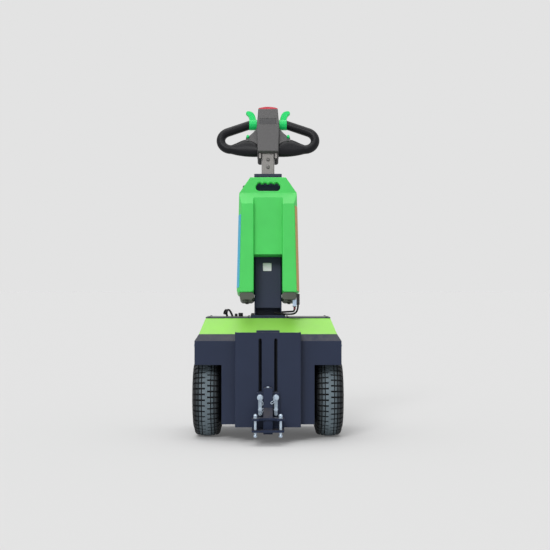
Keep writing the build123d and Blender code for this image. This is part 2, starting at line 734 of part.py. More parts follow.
with BuildPart() as castor_fork:
    # Crown with its kingpin, two legs that rake forward to the wheel pin, and that pin
    with BuildSketch(Plane.XY.offset(castor_fork_top - CASTOR_CROWN)):
        with Locations((0, CASTOR_Y)):
            Circle(CASTOR_BEARING_RADIUS + CASTOR_LEG)
    extrude(amount=CASTOR_CROWN)
    with BuildSketch(Plane.XY.offset(castor_fork_top)):
        with Locations((0, CASTOR_Y)):
            Circle(CASTOR_KINGPIN_RADIUS)
    extrude(amount=CASTOR_RING - CASTOR_PIN_END)
    for side in (-1, 1):
        with BuildSketch(side_plane(side * castor_inner)):
            with BuildLine():
                Polyline(
                    (CASTOR_Y - CASTOR_LEG_WIDTH / 2, castor_fork_top),
                    (castor_axle_y - CASTOR_LEG_TIP, CASTOR_RADIUS),
                    (castor_axle_y + CASTOR_LEG_TIP, CASTOR_RADIUS - CASTOR_LEG_DROP),
                    (CASTOR_Y + CASTOR_LEG_WIDTH / 2, castor_fork_top),
                    close=True,
                )
            make_face()
            with Locations((castor_axle_y, CASTOR_RADIUS)):
                Circle(CASTOR_EYE_RADIUS)
        extrude(amount=side * CASTOR_LEG)
    pin_half = castor_inner + CASTOR_LEG + CASTOR_PIN_END
    with BuildSketch(side_plane(-pin_half)):
        with Locations((castor_axle_y, CASTOR_RADIUS)):
            Circle(CASTOR_PIN_RADIUS)
    extrude(amount=2 * pin_half)
save(castor_fork.part, "castor_fork")

with BuildPart() as castor_wheel:
    # Rounded tread and a hub that runs between the fork's legs
    axle = (0, castor_axle_y, CASTOR_RADIUS)
    bore = CASTOR_PIN_RADIUS + RUNNING_FIT
    with BuildSketch(Plane(origin=axle, x_dir=(1, 0, 0), z_dir=(0, -1, 0))):
        with Locations((0, (bore + CASTOR_RADIUS) / 2)):
            Rectangle(CASTOR_WIDTH, CASTOR_RADIUS - bore)
        with Locations((0, (bore + CASTOR_HUB_RADIUS) / 2)):
            Rectangle(2 * (castor_inner - SLIDING_FIT), CASTOR_HUB_RADIUS - bore)
    revolve(axis=Axis(axle, (1, 0, 0)))
    fillet(castor_wheel.edges().filter_by(GeomType.CIRCLE).group_by(SortBy.RADIUS)[-1], radius=CASTOR_TREAD)
save(castor_wheel.part, "castor_wheel")

# Coupling guide: a folded channel on the front panel with two long slots
with BuildPart() as coupling_guide:
    with BuildSketch(Plane.XY.offset(GUIDE_BOTTOM)):
        with Locations((0, (GUIDE_Y + FRONT_Y) / 2)):
            Rectangle(GUIDE_WIDTH, GUIDE_STANDOFF)
        with Locations((0, (GUIDE_INSIDE_Y + FRONT_Y) / 2)):
            inside = GUIDE_WIDTH - 2 * GUIDE_SHEET
            Rectangle(inside, FRONT_Y - GUIDE_INSIDE_Y, mode=Mode.SUBTRACT)
    extrude(amount=GUIDE_TOP - GUIDE_BOTTOM)
    bends = coupling_guide.edges().filter_by(Axis.Z).group_by(Axis.Y)[0]
    fillet(bends, radius=GUIDE_BEND)
    with BuildSketch(Plane.XZ.offset(-GUIDE_Y)):
        for side in (-1, 1):
            with Locations((side * SLOT_SPACING / 2, (SLOT_TOP + SLOT_BOTTOM) / 2)):
                SlotOverall(SLOT_TOP - SLOT_BOTTOM, SLOT_WIDTH, rotation=90)
    extrude(amount=-GUIDE_SHEET, mode=Mode.SUBTRACT)
    # Cross brackets welded in at top and bottom, which hold the two rods
    bracket_depth = FRONT_Y - BRACKET_REAR_GAP - GUIDE_INSIDE_Y
    for bottom, width in (
        (BRACKET_TOP - BRACKET_HEIGHT, BRACKET_TOP_WIDTH),
        (BRACKET_BOTTOM, BRACKET_BOTTOM_WIDTH),
    ):
        with BuildSketch(Plane.XY.offset(bottom)):
            with Locations((0, GUIDE_INSIDE_Y + bracket_depth / 2)):
                Rectangle(width, bracket_depth)
        extrude(amount=BRACKET_HEIGHT)
save(coupling_guide.part, "coupling_guide")

with BuildPart() as guide_rods:
    rod_bottom = BRACKET_BOTTOM + BRACKET_HEIGHT
    with BuildSketch(Plane.XY.offset(rod_bottom)):
        with Locations((-ROD_SPACING / 2, ROD_Y), (ROD_SPACING / 2, ROD_Y)):
            Circle(ROD_RADIUS)
    extrude(amount=BRACKET_TOP - BRACKET_HEIGHT - rod_bottom)
save(guide_rods.part, "guide_rods")

# Coupling carriage, which runs up and down the two rods behind the slots
with BuildPart() as coupling_carriage:
    with BuildSketch(Plane.XY.offset(CARRIAGE_BOTTOM)):
        with Locations((0, CARRIAGE_Y + CARRIAGE_DEPTH / 2)):
            Rectangle(CARRIAGE_WIDTH, CARRIAGE_DEPTH)
        with Locations((-ROD_SPACING / 2, ROD_Y), (ROD_SPACING / 2, ROD_Y)):
            Circle(ROD_RADIUS + RUNNING_FIT, mode=Mode.SUBTRACT)
    extrude(amount=CARRIAGE_TOP - CARRIAGE_BOTTOM)
save(coupling_carriage.part, "coupling_carriage")

BOLT_PLACES = [
    (side * SLOT_SPACING / 2, height)
    for height in (LOWER_BOLT_Z, UPPER_BOLT_Z)
    for side in (-1, 1)
]

with BuildPart() as coupling_bracket:
    with BuildSketch(Plane.XZ.offset(-DRAW_BACK_Y)):
        with Locations((0, (DRAW_PLATE_BOTTOM + DRAW_PLATE_TOP) / 2)):
            Rectangle(DRAW_PLATE_WIDTH, DRAW_PLATE_TOP - DRAW_PLATE_BOTTOM)
        with Locations(*BOLT_PLACES):
            Circle(BOLT_RADIUS + BOLT_FIT, mode=Mode.SUBTRACT)
    extrude(amount=DRAW_PLATE)
    with BuildSketch(Plane.XZ.offset(-DRAW_FRONT_Y)):
        with Locations((0, (DRAW_POST_BOTTOM + DRAW_POST_TOP) / 2)):
            Rectangle(DRAW_POST_WIDTH, DRAW_POST_TOP - DRAW_POST_BOTTOM)
    extrude(amount=DRAW_POST_DEPTH)
    crown = coupling_bracket.edges().filter_by(Axis.Y).group_by(Axis.Z)[-1]
    fillet(crown, radius=DRAW_POST_CROWN)
save(coupling_bracket.part, "coupling_bracket")

with BuildPart() as coupling_links:
    with BuildSketch(Plane.XZ.offset(-DRAW_FRONT_Y)):
        link_low, link_high = LOWER_BOLT_Z - LINK_END, UPPER_BOLT_Z + LINK_END / 2
        for side in (-1, 1):
            with Locations((side * SLOT_SPACING / 2, (link_low + link_high) / 2)):
                SlotOverall(link_high - link_low, LINK_WIDTH, rotation=90)
        with Locations(*BOLT_PLACES):
            Circle(BOLT_RADIUS + BOLT_FIT, mode=Mode.SUBTRACT)
    extrude(amount=LINK)
save(coupling_links.part, "coupling_links")

with BuildPart() as coupling_bolts:
    # Bush through the slot, pad between plate and guide, shank, then washer and head
    with BuildSketch(Plane.XZ.offset(-CARRIAGE_Y)):
        with Locations(*BOLT_PLACES):
            Circle(SLOT_WIDTH / 2 - SLIDING_FIT)
    extrude(amount=CARRIAGE_Y - DRAW_BACK_Y)
    with BuildSketch(Plane.XZ.offset(-GUIDE_Y + SLIDING_FIT)):
        with Locations(*BOLT_PLACES):
            Circle(PAD_RADIUS)
    extrude(amount=PAD_GAP - SLIDING_FIT)
    with BuildSketch(Plane.XZ.offset(-DRAW_BACK_Y)):
        with Locations(*BOLT_PLACES):
            Circle(BOLT_RADIUS)
    extrude(amount=DRAW_BACK_Y - LINK_FRONT_Y + WASHER)
    with BuildSketch(Plane.XZ.offset(-LINK_FRONT_Y)):
        with Locations(*BOLT_PLACES[2:]):
            Circle(WASHER_RADIUS)
        with Locations(*BOLT_PLACES[:2]):
            Circle(NUT_FLATS / 2)
    extrude(amount=WASHER)
    with BuildSketch(Plane.XZ.offset(-LINK_FRONT_Y + WASHER)):
        with Locations(*BOLT_PLACES[2:]):
            RegularPolygon(BOLT_HEAD_FLATS / 2, 6, major_radius=False)
        with Locations(*BOLT_PLACES[:2]):
            RegularPolygon(NUT_FLATS / 2, 6, major_radius=False)
    extrude(amount=BOLT_HEAD)
save(coupling_bolts.part, "coupling_bolts")

# Coupling jaw: two plates on a back web and a middle post, with a ramp up to the bracket
jaw_back_y = DRAW_FRONT_Y - DRAW_POST_DEPTH
jaw_front_y = jaw_back_y - JAW_DEPTH
pin_y = jaw_front_y + PIN_SETBACK
PIN_PLACES = [(-PIN_SPACING / 2, pin_y), (PIN_SPACING / 2, pin_y)]
with BuildPart() as coupling_jaw:
    for level, notched in ((JAW_BOTTOM, False), (JAW_TOP - JAW_PLATE, True)):
        with BuildSketch(Plane.XY.offset(level)):
            with Locations((0, jaw_front_y + JAW_DEPTH / 2)):
                jaw_outline = Rectangle(JAW_WIDTH, JAW_DEPTH)
            fillet(jaw_outline.vertices().group_by(Axis.Y)[0], radius=JAW_CORNER)
            with Locations(*PIN_PLACES):
                Circle(PIN_RADIUS + BOLT_FIT, mode=Mode.SUBTRACT)
            if notched:
                with Locations((0, jaw_front_y + JAW_NOTCH_DEPTH - JAW_NOTCH_RADIUS)):
                    Circle(JAW_NOTCH_RADIUS, mode=Mode.SUBTRACT)
        extrude(amount=JAW_PLATE)
    with BuildSketch(Plane.XY.offset(JAW_BOTTOM + JAW_PLATE)):
        with Locations((0, jaw_back_y - JAW_PLATE / 2)):
            Rectangle(JAW_WIDTH, JAW_PLATE)
    extrude(amount=JAW_TOP - JAW_BOTTOM - 2 * JAW_PLATE)
    with BuildSketch(Plane.XY.offset(JAW_POST_BOTTOM)):
        with Locations((0, jaw_back_y - JAW_POST_DEPTH / 2)):
            Rectangle(JAW_POST_WIDTH, JAW_POST_DEPTH)
    extrude(amount=JAW_TOP - JAW_PLATE - JAW_POST_BOTTOM)
    with BuildSketch(side_plane(-JAW_POST_WIDTH / 2)):
        with BuildLine():
            Polyline(
                (jaw_back_y, JAW_TOP),
                (jaw_back_y - RAMP_RUN, JAW_TOP),
                (jaw_back_y, JAW_TOP + RAMP_RISE),
                close=True,
            )
        make_face()
    extrude(amount=JAW_POST_WIDTH)
save(coupling_jaw.part, "coupling_jaw")

with BuildPart() as coupling_pins:
    pin_top = JAW_TOP + PIN_COLLAR
    with BuildSketch(Plane.XY.offset(JAW_BOTTOM - PIN_DROP)):
        with Locations(*PIN_PLACES):
            Circle(PIN_RADIUS)
    extrude(amount=pin_top + PIN_BALL_RISE - JAW_BOTTOM + PIN_DROP)
    with BuildSketch(Plane.XY.offset(JAW_TOP)):
        with Locations(*PIN_PLACES):
            Circle(PIN_COLLAR_RADIUS)
    extrude(amount=PIN_COLLAR)
    ball_levels = (JAW_BOTTOM - PIN_DROP, pin_top + PIN_BALL_RISE)
    with Locations(*[(x, y, level) for x, y in PIN_PLACES for level in ball_levels]):
        Sphere(PIN_BALL_RADIUS)
save(coupling_pins.part, "coupling_pins")

# Mast: a folded box section with an open door at its foot, on a bolted flange
with BuildPart() as mast:
    with BuildSketch(MAST):
        with Locations((0, MAST_DEPTH / 2)):
            RectangleRounded(MAST_WIDTH, MAST_DEPTH, MAST_BEND)
            RectangleRounded(
                MAST_WIDTH - 2 * MAST_WALL, MAST_DEPTH - 2 * MAST_WALL, MAST_BEND / 2,
                mode=Mode.SUBTRACT,
            )
    extrude(amount=MAST_LENGTH)
    with BuildSketch(MAST_FACE):
        with Locations((0, (MAST_DOOR_TOP + MAST_DOOR_SILL) / 2)):
            Rectangle(MAST_WIDTH - 2 * MAST_WALL, MAST_DOOR_TOP - MAST_DOOR_SILL)
    extrude(amount=-2 * MAST_WALL, mode=Mode.SUBTRACT)
    # The foot is trimmed level with the flange it is welded to.
    split(bisect_by=Plane.XY.offset(DECK_TOP + FOOT_FLANGE), keep=Keep.TOP)
    with BuildSketch(Plane.XY.offset(DECK_TOP)):
        with Locations((0, MAST_FOOT_Y + MAST_DEPTH / 2)):
            RectangleRounded(MAST_WIDTH + 2 * FOOT_MARGIN, MAST_DEPTH + 2 * FOOT_MARGIN, FOOT_MARGIN / 2)
    extrude(amount=FOOT_FLANGE)
save(mast.part, "mast")

with BuildPart() as mast_cap:
    with BuildSketch(MAST.offset(MAST_LENGTH)):
        with Locations((0, MAST_DEPTH / 2)):
            RectangleRounded(MAST_WIDTH + 2 * CAP_MARGIN, MAST_DEPTH + 2 * CAP_MARGIN, MAST_BEND)
            Rectangle(TUBE_WIDTH + 2 * SLIDING_FIT, TUBE_DEPTH + 2 * SLIDING_FIT, mode=Mode.SUBTRACT)
    extrude(amount=CAP_PLATE)
save(mast_cap.part, "mast_cap")

with BuildPart() as tiller_tube:
    with BuildSketch(MAST.offset(TUBE_BOTTOM)):
        with Locations((0, MAST_DEPTH / 2)):
            RectangleRounded(TUBE_WIDTH, TUBE_DEPTH, TUBE_CORNER)
            RectangleRounded(
                TUBE_WIDTH - 2 * TUBE_WALL, TUBE_DEPTH - 2 * TUBE_WALL, TUBE_CORNER - TUBE_WALL / 2,
                mode=Mode.SUBTRACT,
            )
    extrude(amount=HEAD_BASE - TUBE_BOTTOM)
    # The top is cut to the underside of the head.
    split(bisect_by=HEAD.offset(HEAD_BOTTOM), keep=Keep.BOTTOM)
    with BuildSketch(MAST_FACE.offset(TUBE_DEPTH / 2 - MAST_DEPTH / 2)):
        with Locations(*[(0, HEAD_BASE - drop) for drop in TUBE_BOLT_DROPS]):
            Circle(TUBE_BOLT_RADIUS)
    extrude(amount=TUBE_BOLT_HEAD)
save(tiller_tube.part, "tiller_tube")

# Battery pack: two legs beside the mast, a recessed front panel and a hand-hold above

def on_face(edge, low, near):
    """Whether both ends of an edge are above low on MAST_FACE and not behind near."""
    ends = [MAST_FACE.to_local_coords(edge @ end) for end in (0, 1)]
    return all(place.Y > low - SEAT_FIT and place.Z > near - SEAT_FIT for place in ends)


with BuildPart() as battery_pack:
    with BuildSketch(MAST_FACE.offset(-PACK_REAR)):
        with BuildLine():
            Polyline(
                (-PACK_HALF_BOTTOM, PACK_BOTTOM),
                (PACK_HALF_BOTTOM, PACK_BOTTOM),
                (PACK_HALF_SHOULDER, PACK_SHOULDER),
                (PACK_HALF_TOP, PACK_TOP),
                (-PACK_HALF_TOP, PACK_TOP),
                (-PACK_HALF_SHOULDER, PACK_SHOULDER),
                close=True,
            )
        make_face()
    extrude(amount=PACK_REAR + PACK_FRONT)
    # The sides draw in towards the front.
    front_face = battery_pack.faces().filter_by(MAST_FACE).sort_by(Axis.Y)[0]
    sides = [e for e in front_face.edges() if abs(e.center().X) > PACK_HALF_TOP + PACK_CHAMFER]
    chamfer(sides, length=PACK_CHAMFER, length2=PACK_CHAMFER_DEPTH, reference=front_face)
    # Front slope up to the thinner hand-hold panel
    with BuildSketch(Plane(MAST.origin, x_dir=MAST.y_dir, z_dir=(1, 0, 0)).offset(-PACK_HALF_BOTTOM)):
        with BuildLine():
            Polyline(
                (-PACK_FRONT, PACK_SLOPE_FOOT),
                (-PACK_HANDLE_FRONT, PACK_SHOULDER),
                (-PACK_HANDLE_FRONT, PACK_TOP),
                (-PACK_FRONT, PACK_TOP),
                close=True,
            )
        make_face()
        with BuildLine():
            handle_back = -PACK_HANDLE_FRONT + PACK_HANDLE_DEPTH
            Polyline(
                (PACK_REAR, PACK_SLOPE_FOOT),
                (handle_back, PACK_SHOULDER),
                (handle_back, PACK_TOP),
                (PACK_REAR, PACK_TOP),
                close=True,
            )
        make_face()
    extrude(amount=2 * PACK_HALF_BOTTOM, mode=Mode.SUBTRACT)
    # Channel for the mast behind, open below, and the gap between the legs
    with BuildSketch(MAST_FACE.offset(-PACK_REAR)):
        with Locations((0, (PACK_BOTTOM + PACK_TOP) / 2)):
            Rectangle(2 * PACK_GAP_HALF, PACK_TOP - PACK_BOTTOM)
    extrude(amount=PACK_REAR + PACK_MAST_GAP, mode=Mode.SUBTRACT)
    with BuildSketch(MAST_FACE):
        with Locations((0, (PACK_BOTTOM + PACK_RECESS_BOTTOM) / 2)):
            Rectangle(2 * PACK_GAP_HALF, PACK_RECESS_BOTTOM - PACK_BOTTOM)
    extrude(amount=PACK_FRONT, mode=Mode.SUBTRACT)
    # Shallow recess in the front between the legs
    with BuildSketch(MAST_FACE.offset(PACK_FRONT - PACK_RECESS_DEPTH)):
        with Locations((0, (PACK_RECESS_BOTTOM + PACK_TOP) / 2)):
            Rectangle(2 * PACK_GAP_HALF, PACK_TOP - PACK_RECESS_BOTTOM)
    extrude(amount=PACK_RECESS_DEPTH, mode=Mode.SUBTRACT)
    # Hand-hold with finger scallops
    with BuildSketch(MAST_FACE):
        with Locations((0, (HANDHOLD_BOTTOM + HANDHOLD_TOP) / 2)):
            SlotOverall(HANDHOLD_WIDTH, HANDHOLD_TOP - HANDHOLD_BOTTOM)
        pitch = (HANDHOLD_WIDTH - HANDHOLD_TOP + HANDHOLD_BOTTOM) / (HANDHOLD_SCALLOPS - 1)
        with Locations((0, HANDHOLD_TOP - HANDHOLD_SCALLOP_RADIUS / 2)):
            with GridLocations(pitch, 0, HANDHOLD_SCALLOPS, 1):
                Circle(HANDHOLD_SCALLOP_RADIUS)
    extrude(amount=PACK_FRONT, mode=Mode.SUBTRACT)
    # Moulded edges: the legs' feet are rounded first, then the front, then the sloping crown.
    feet = battery_pack.faces().filter_by(MAST).sort_by(Axis.Z)[:2]
    fillet(feet.edges().filter_by(MAST_DEPTH_AXIS), radius=PACK_FOOT_ROUND)
    long_edges = [e for e in battery_pack.edges() if e.length > PACK_LEG]
    side_front = PACK_FRONT - PACK_CHAMFER_DEPTH
    fillet([e for e in long_edges if on_face(e, PACK_BOTTOM, side_front)], radius=PACK_ROUND)
    crown_low = PACK_SLOPE_FOOT - 2 * PACK_ROUND
    crown = [e for e in battery_pack.edges() if on_face(e, crown_low, PACK_HANDLE_FRONT)]
    fillet(crown, radius=PACK_ROUND)
    feet = battery_pack.faces().filter_by(MAST).sort_by(Axis.Z)[:2]
    fillet(feet.edges(), radius=PACK_ROUND)
save(battery_pack.part, "battery_pack")

# Cradles: bent trays on the mast's sides that the battery pack's legs stand in
with BuildPart() as battery_cradles:
    inner, outer = MAST_WIDTH / 2, CRADLE_OUTER
    for side in (-1, 1):
        with BuildSketch(MAST_FACE.offset(-CRADLE_REAR)):
            with Locations((side * (inner + outer) / 2, PACK_BOTTOM - CRADLE_DROP / 2)):
                tray = Rectangle(outer - inner, CRADLE_DROP)
            fillet(tray.vertices().group_by(Axis.Z)[0], radius=CRADLE_ROUND)
        extrude(amount=CRADLE_REAR + CRADLE_FRONT)
save(battery_cradles.part, "battery_cradles")

# Control head: a moulded shell on the tiller tube with a front cover and two looped grips

def make_grip(side, grow=0.0):
    """One looped grip; grow gives the larger form that is cut out of the head to seat it."""
    slope = radians(GRIP_ARM_SLOPE)
    radius = GRIP_RADIUS + grow
    turn_x = GRIP_HALF_WIDTH - GRIP_TURN_RADIUS
    turn_q = GRIP_BAR_Q + GRIP_TURN_RADIUS
    upper = (turn_x + GRIP_TURN_RADIUS * sin(slope), turn_q + GRIP_TURN_RADIUS * cos(slope))
    middle = (
        turn_x + GRIP_TURN_RADIUS * cos(slope / 2),
        turn_q - GRIP_TURN_RADIUS * sin(slope / 2),
    )
    inner_x = GRIP_ARM_INNER - 2 * GRIP_RADIUS
    inner = (inner_x, upper[1] + (upper[0] - inner_x) * tan(slope))
    with BuildPart() as grip:
        with BuildLine(HEAD_FACE) as loop:
            Line((side * inner[0], inner[1]), (side * upper[0], upper[1]))
            ThreePointArc(
                (side * upper[0], upper[1]), (side * middle[0], middle[1]), (side * turn_x, GRIP_BAR_Q)
            )
        with BuildSketch(Plane(loop.line @ 0, z_dir=loop.line % 0)):
            Circle(radius)
        sweep(path=loop.line)
        # The arm ends in a flat, square to the throttle's shaft.
        trim = Plane(HEAD_FACE.from_local_coords(Vector(side * GRIP_ARM_INNER, 0)), z_dir=(side, 0, 0))
        split(bisect_by=trim, keep=Keep.TOP)
        # The lower bar swells to the head's side.
        for x, q, high, wide in (
            (turn_x, GRIP_BAR_Q, 2 * GRIP_RADIUS, 2 * GRIP_RADIUS),
            GRIP_NECK,
            GRIP_SWELL,
            (HEAD_HALF_MID + SEAM - grow, *GRIP_ROOT),
        ):
            centre = HEAD_FACE.from_local_coords(Vector(side * x, q))
            with BuildSketch(Plane(centre, x_dir=HEAD_FACE.y_dir, z_dir=(1, 0, 0))):
                Ellipse(high / 2 + grow, wide / 2 + grow)
        loft()
    return grip.part


for side, name in ((-1, "left"), (1, "right")):
    save(make_grip(side), f"{name}_grip")

with BuildPart() as head_shell:
    with BuildSketch(HEAD_FACE.offset(-HEAD_DEPTH / 2)):
        with BuildLine():
            Polyline(
                (HEAD_HALF_TOP, HEAD_LENGTH),
                (HEAD_HALF_MID, HEAD_MID),
                (HEAD_HALF_MID, HEAD_BOTTOM),
                (-HEAD_HALF_MID, HEAD_BOTTOM),
                (-HEAD_HALF_MID, HEAD_MID),
                (-HEAD_HALF_TOP, HEAD_LENGTH),
                close=True,
            )
        make_face()
    extrude(amount=HEAD_DEPTH)
    fillet(head_shell.faces().filter_by(HEAD_FACE).edges(), radius=HEAD_ROUND)
    # Shoulders sweep down from the column and sit on the swelling ends of the grips.
    for side in (-1, 1):
        with BuildPart(mode=Mode.PRIVATE) as shoulder:
            with BuildSketch(HEAD_FACE.offset(-SHOULDER_DEPTH / 2)):
                with BuildLine():
                    top, tip = (0, SHOULDER_TOP), (side * SHOULDER_END[0], SHOULDER_END[1])
                    neck = (side * HEAD_HALF_MID, SHOULDER_TOP)
                    SagittaArc(neck, tip, -side * SHOULDER_HOLLOW)
                    Polyline(tip, (side * SHOULDER_END[0], GRIP_BAR_Q), (0, GRIP_BAR_Q), top, neck)
                make_face()
            extrude(amount=SHOULDER_DEPTH)
            rounded = shoulder.edges().filter_by(GeomType.CIRCLE)
            fillet(rounded, radius=SHOULDER_ROUND)
            add(make_grip(side, SEAM), mode=Mode.SUBTRACT)
        add(shoulder.part)
save(head_shell.part, "head_shell")

with BuildPart() as head_cover:
    with BuildSketch(HEAD_FACE.offset(HEAD_DEPTH / 2)):
        with BuildLine():
            cover_top = HEAD_LENGTH - COVER_TOP_GAP
            Polyline(
                (COVER_HALF_TOP, cover_top),
                (COVER_HALF_MID, COVER_MID),
                (COVER_HALF_BOTTOM, HEAD_BOTTOM),
                (-COVER_HALF_BOTTOM, HEAD_BOTTOM),
                (-COVER_HALF_MID, COVER_MID),
                (-COVER_HALF_TOP, cover_top),
                close=True,
            )
        make_face()
    extrude(amount=COVER)
    fillet(head_cover.faces().sort_by(HEAD_OUT)[-1].edges(), radius=COVER_ROUND)
    # Sunk field for a blank label
    with BuildSketch(HEAD_FACE.offset(HEAD_DEPTH / 2 + COVER)):
        with Locations((0, LABEL_BOTTOM + LABEL_HEIGHT / 2)):
            Rectangle(2 * LABEL_HALF, LABEL_HEIGHT)
    extrude(amount=-LABEL_SINK, mode=Mode.SUBTRACT)
save(head_cover.part, "head_cover")

with BuildPart() as head_clamp:
    ear_inner = TUBE_WIDTH / 2 + 2 * SLIDING_FIT
    ear_top, ear_low = HEAD_BOTTOM, HEAD_BOTTOM - CLAMP_DROP
    with BuildSketch(HEAD_FACE.offset(-CLAMP_DEPTH / 2)):
        for side in (-1, 1):
            with BuildLine():
                FilletPolyline(
                    (side * ear_inner, ear_top),
                    (side * ear_inner, ear_low),
                    (side * CLAMP_HALF, ear_low),
                    (side * CLAMP_HALF, ear_top),
                    radius=(0, CLAMP_ROUND),
                )
                Line((side * CLAMP_HALF, ear_top), (side * ear_inner, ear_top))
            make_face()
    extrude(amount=CLAMP_DEPTH)
save(head_clamp.part, "head_clamp")

with BuildPart() as throttles:
    # Butterfly throttles: a hub on the cross shaft with a lobe that curls outwards
    hub_in, hub_out = HEAD_HALF_MID + THROTTLE_GAP, GRIP_ARM_INNER - SLIDING_FIT
    lobe_left = (hub_in + hub_out - WING_WIDTH) / 2
    lobe_right, tip_q = lobe_left + WING_WIDTH, THROTTLE_Q + WING_REACH
    for side in (-1, 1):
        for start, end, radius in (
            (HEAD_HALF_MID, GRIP_ARM_INNER, THROTTLE_SHAFT_RADIUS),
            (hub_in, hub_out, THROTTLE_HUB_RADIUS),
        ):
            centre = HEAD_FACE.from_local_coords(Vector(side * start, THROTTLE_Q))
            with BuildSketch(Plane(centre, x_dir=HEAD_FACE.y_dir, z_dir=(side, 0, 0))):
                Circle(radius)
            extrude(amount=end - start)
        with BuildSketch(HEAD_FACE.offset(-WING_THICKNESS / 2)):
            with BuildLine():
                root_left, root_right = (side * lobe_left, THROTTLE_Q), (side * lobe_right, THROTTLE_Q)
                tip_left = (side * (lobe_left + WING_FLARE), tip_q)
                tip_right = (side * (lobe_right + WING_TIP), tip_q - WING_TIP_DROP)
                tip_end = (side * (lobe_right + WING_TIP - WING_TIP_ROUND), tip_q - WING_TIP_ROUND)
                heel = (side * lobe_left, THROTTLE_Q + WING_HEEL)
                instep = (side * (lobe_left + WING_INSTEP), tip_q)
                ankle = (side * lobe_right, THROTTLE_Q + WING_ANKLE)
                sole = (side * (lobe_right + WING_SOLE), tip_right[1] - WING_SOLE_DROP)
                Bezier(root_left, heel, instep, tip_left)
                ThreePointArc(tip_left, tip_end, tip_right)
                Bezier(root_right, ankle, sole, tip_right)
                Line(root_left, root_right)
            make_face()
        extrude(amount=WING_THICKNESS)
save(throttles.part, "throttles")

with BuildPart() as safety_switch:
    with BuildSketch(HEAD_FACE.offset(-HEAD_DEPTH / 2)):
        with BuildLine():
            rim_q = HEAD_LENGTH + SWITCH_CAP_HEIGHT - SWITCH_CAP_CROWN
            Polyline(
                (-SWITCH_CAP_HALF, rim_q),
                (-SWITCH_CAP_HALF, HEAD_LENGTH),
                (SWITCH_CAP_HALF, HEAD_LENGTH),
                (SWITCH_CAP_HALF, rim_q),
            )
            ThreePointArc(
                (SWITCH_CAP_HALF, rim_q), (0, HEAD_LENGTH + SWITCH_CAP_HEIGHT), (-SWITCH_CAP_HALF, rim_q)
            )
        make_face()
    extrude(amount=SWITCH_CAP_DEPTH)
    fillet(safety_switch.edges().filter_by(GeomType.CIRCLE), radius=SWITCH_CAP_ROUND)
save(safety_switch.part, "safety_switch")

with BuildPart() as head_knobs:
    with BuildSketch(HEAD_FACE.offset(SHOULDER_DEPTH / 2)):
        with Locations((-KNOB_X, KNOB_Q), (KNOB_X, KNOB_Q)):
            Circle(KNOB_RADIUS)
    extrude(amount=KNOB_HEIGHT, taper=KNOB_TAPER)
save(head_knobs.part, "head_knobs")

# Fittings on the top plate: charging socket, isolator knob and the socket's dust cap on its strap
with BuildPart() as charge_socket:
    with BuildSketch(Plane.XY.offset(DECK_TOP)):
        with Locations((SOCKET_X, SOCKET_Y)):
            Circle(SOCKET_RADIUS)
    extrude(amount=SOCKET_HEIGHT)
    with BuildSketch(Plane.XY.offset(DECK_TOP + SOCKET_HEIGHT)):
        with Locations((SOCKET_X, SOCKET_Y)):
            Circle(SOCKET_BORE)
    extrude(amount=-SOCKET_DEPTH, mode=Mode.SUBTRACT)
save(charge_socket.part, "charge_socket")

with BuildPart() as isolator_knob:
    with BuildSketch(Plane.XY.offset(DECK_TOP)):
        with Locations((SWITCH_X, SOCKET_Y)):
            Circle(SWITCH_RADIUS)
    extrude(amount=SWITCH_HEIGHT, taper=SWITCH_TAPER)
save(isolator_knob.part, "isolator_knob")

with BuildPart() as dust_cap:
    # Foot of the strap, the strap bent up from it, and the cap at its end, turned to the front
    with BuildSketch(Plane.XY.offset(DECK_TOP)):
        with Locations((CAP_X, SOCKET_Y)):
            Circle(STRAP_WIDTH)
    extrude(amount=STRAP)
    cap_z = DECK_TOP + STRAP + CAP_HEIGHT - CAP_RADIUS
    with BuildSketch(Plane.XY.offset(DECK_TOP)):
        with Locations((CAP_X, SOCKET_Y)):
            Rectangle(STRAP_WIDTH, STRAP)
    extrude(amount=cap_z - DECK_TOP)
    cap_face = (sin(radians(CAP_TURN)), -cos(radians(CAP_TURN)), 0)
    with BuildSketch(Plane((CAP_X, SOCKET_Y, cap_z), z_dir=cap_face)):
        Circle(CAP_RADIUS)
    extrude(amount=CAP_DEPTH, both=True)
save(dust_cap.part, "dust_cap")

# Latch knob on the mast's side that holds the battery pack
with BuildPart() as latch_knob:
    latch_root = MAST.from_local_coords(Vector(-MAST_WIDTH / 2, MAST_DEPTH / 2, LATCH_HEIGHT))
    ball_start = LATCH_REACH - sqrt(LATCH_KNOB_RADIUS**2 - LATCH_STEM_RADIUS**2)
    with BuildSketch(Plane(latch_root, x_dir=(-1, 0, 0), z_dir=MAST.y_dir)):
        with BuildLine():
            Polyline((LATCH_REACH + LATCH_KNOB_RADIUS, 0), (0, 0), (0, LATCH_STEM_RADIUS))
            Line((0, LATCH_STEM_RADIUS), (ball_start, LATCH_STEM_RADIUS))
            ThreePointArc(
                (ball_start, LATCH_STEM_RADIUS),
                (LATCH_REACH, LATCH_KNOB_RADIUS),
                (LATCH_REACH + LATCH_KNOB_RADIUS, 0),
            )
        make_face()
    revolve(axis=Axis(latch_root, (-1, 0, 0)))
save(latch_knob.part, "latch_knob")

# Battery plug: a pale half under the right cradle mates with a dark half at the cradle's side
plug_top = PACK_BOTTOM - CRADLE_DROP
with BuildPart() as battery_plug:
    with BuildSketch(MAST_FACE.offset(PLUG_FRONT - PLUG_DEPTH)):
        with Locations((CRADLE_OUTER - PLUG_HALF_WIDTH / 2, plug_top - PLUG_LENGTH / 2)):
            Rectangle(PLUG_HALF_WIDTH, PLUG_LENGTH)
    extrude(amount=PLUG_DEPTH)
save(battery_plug.part, "battery_plug")

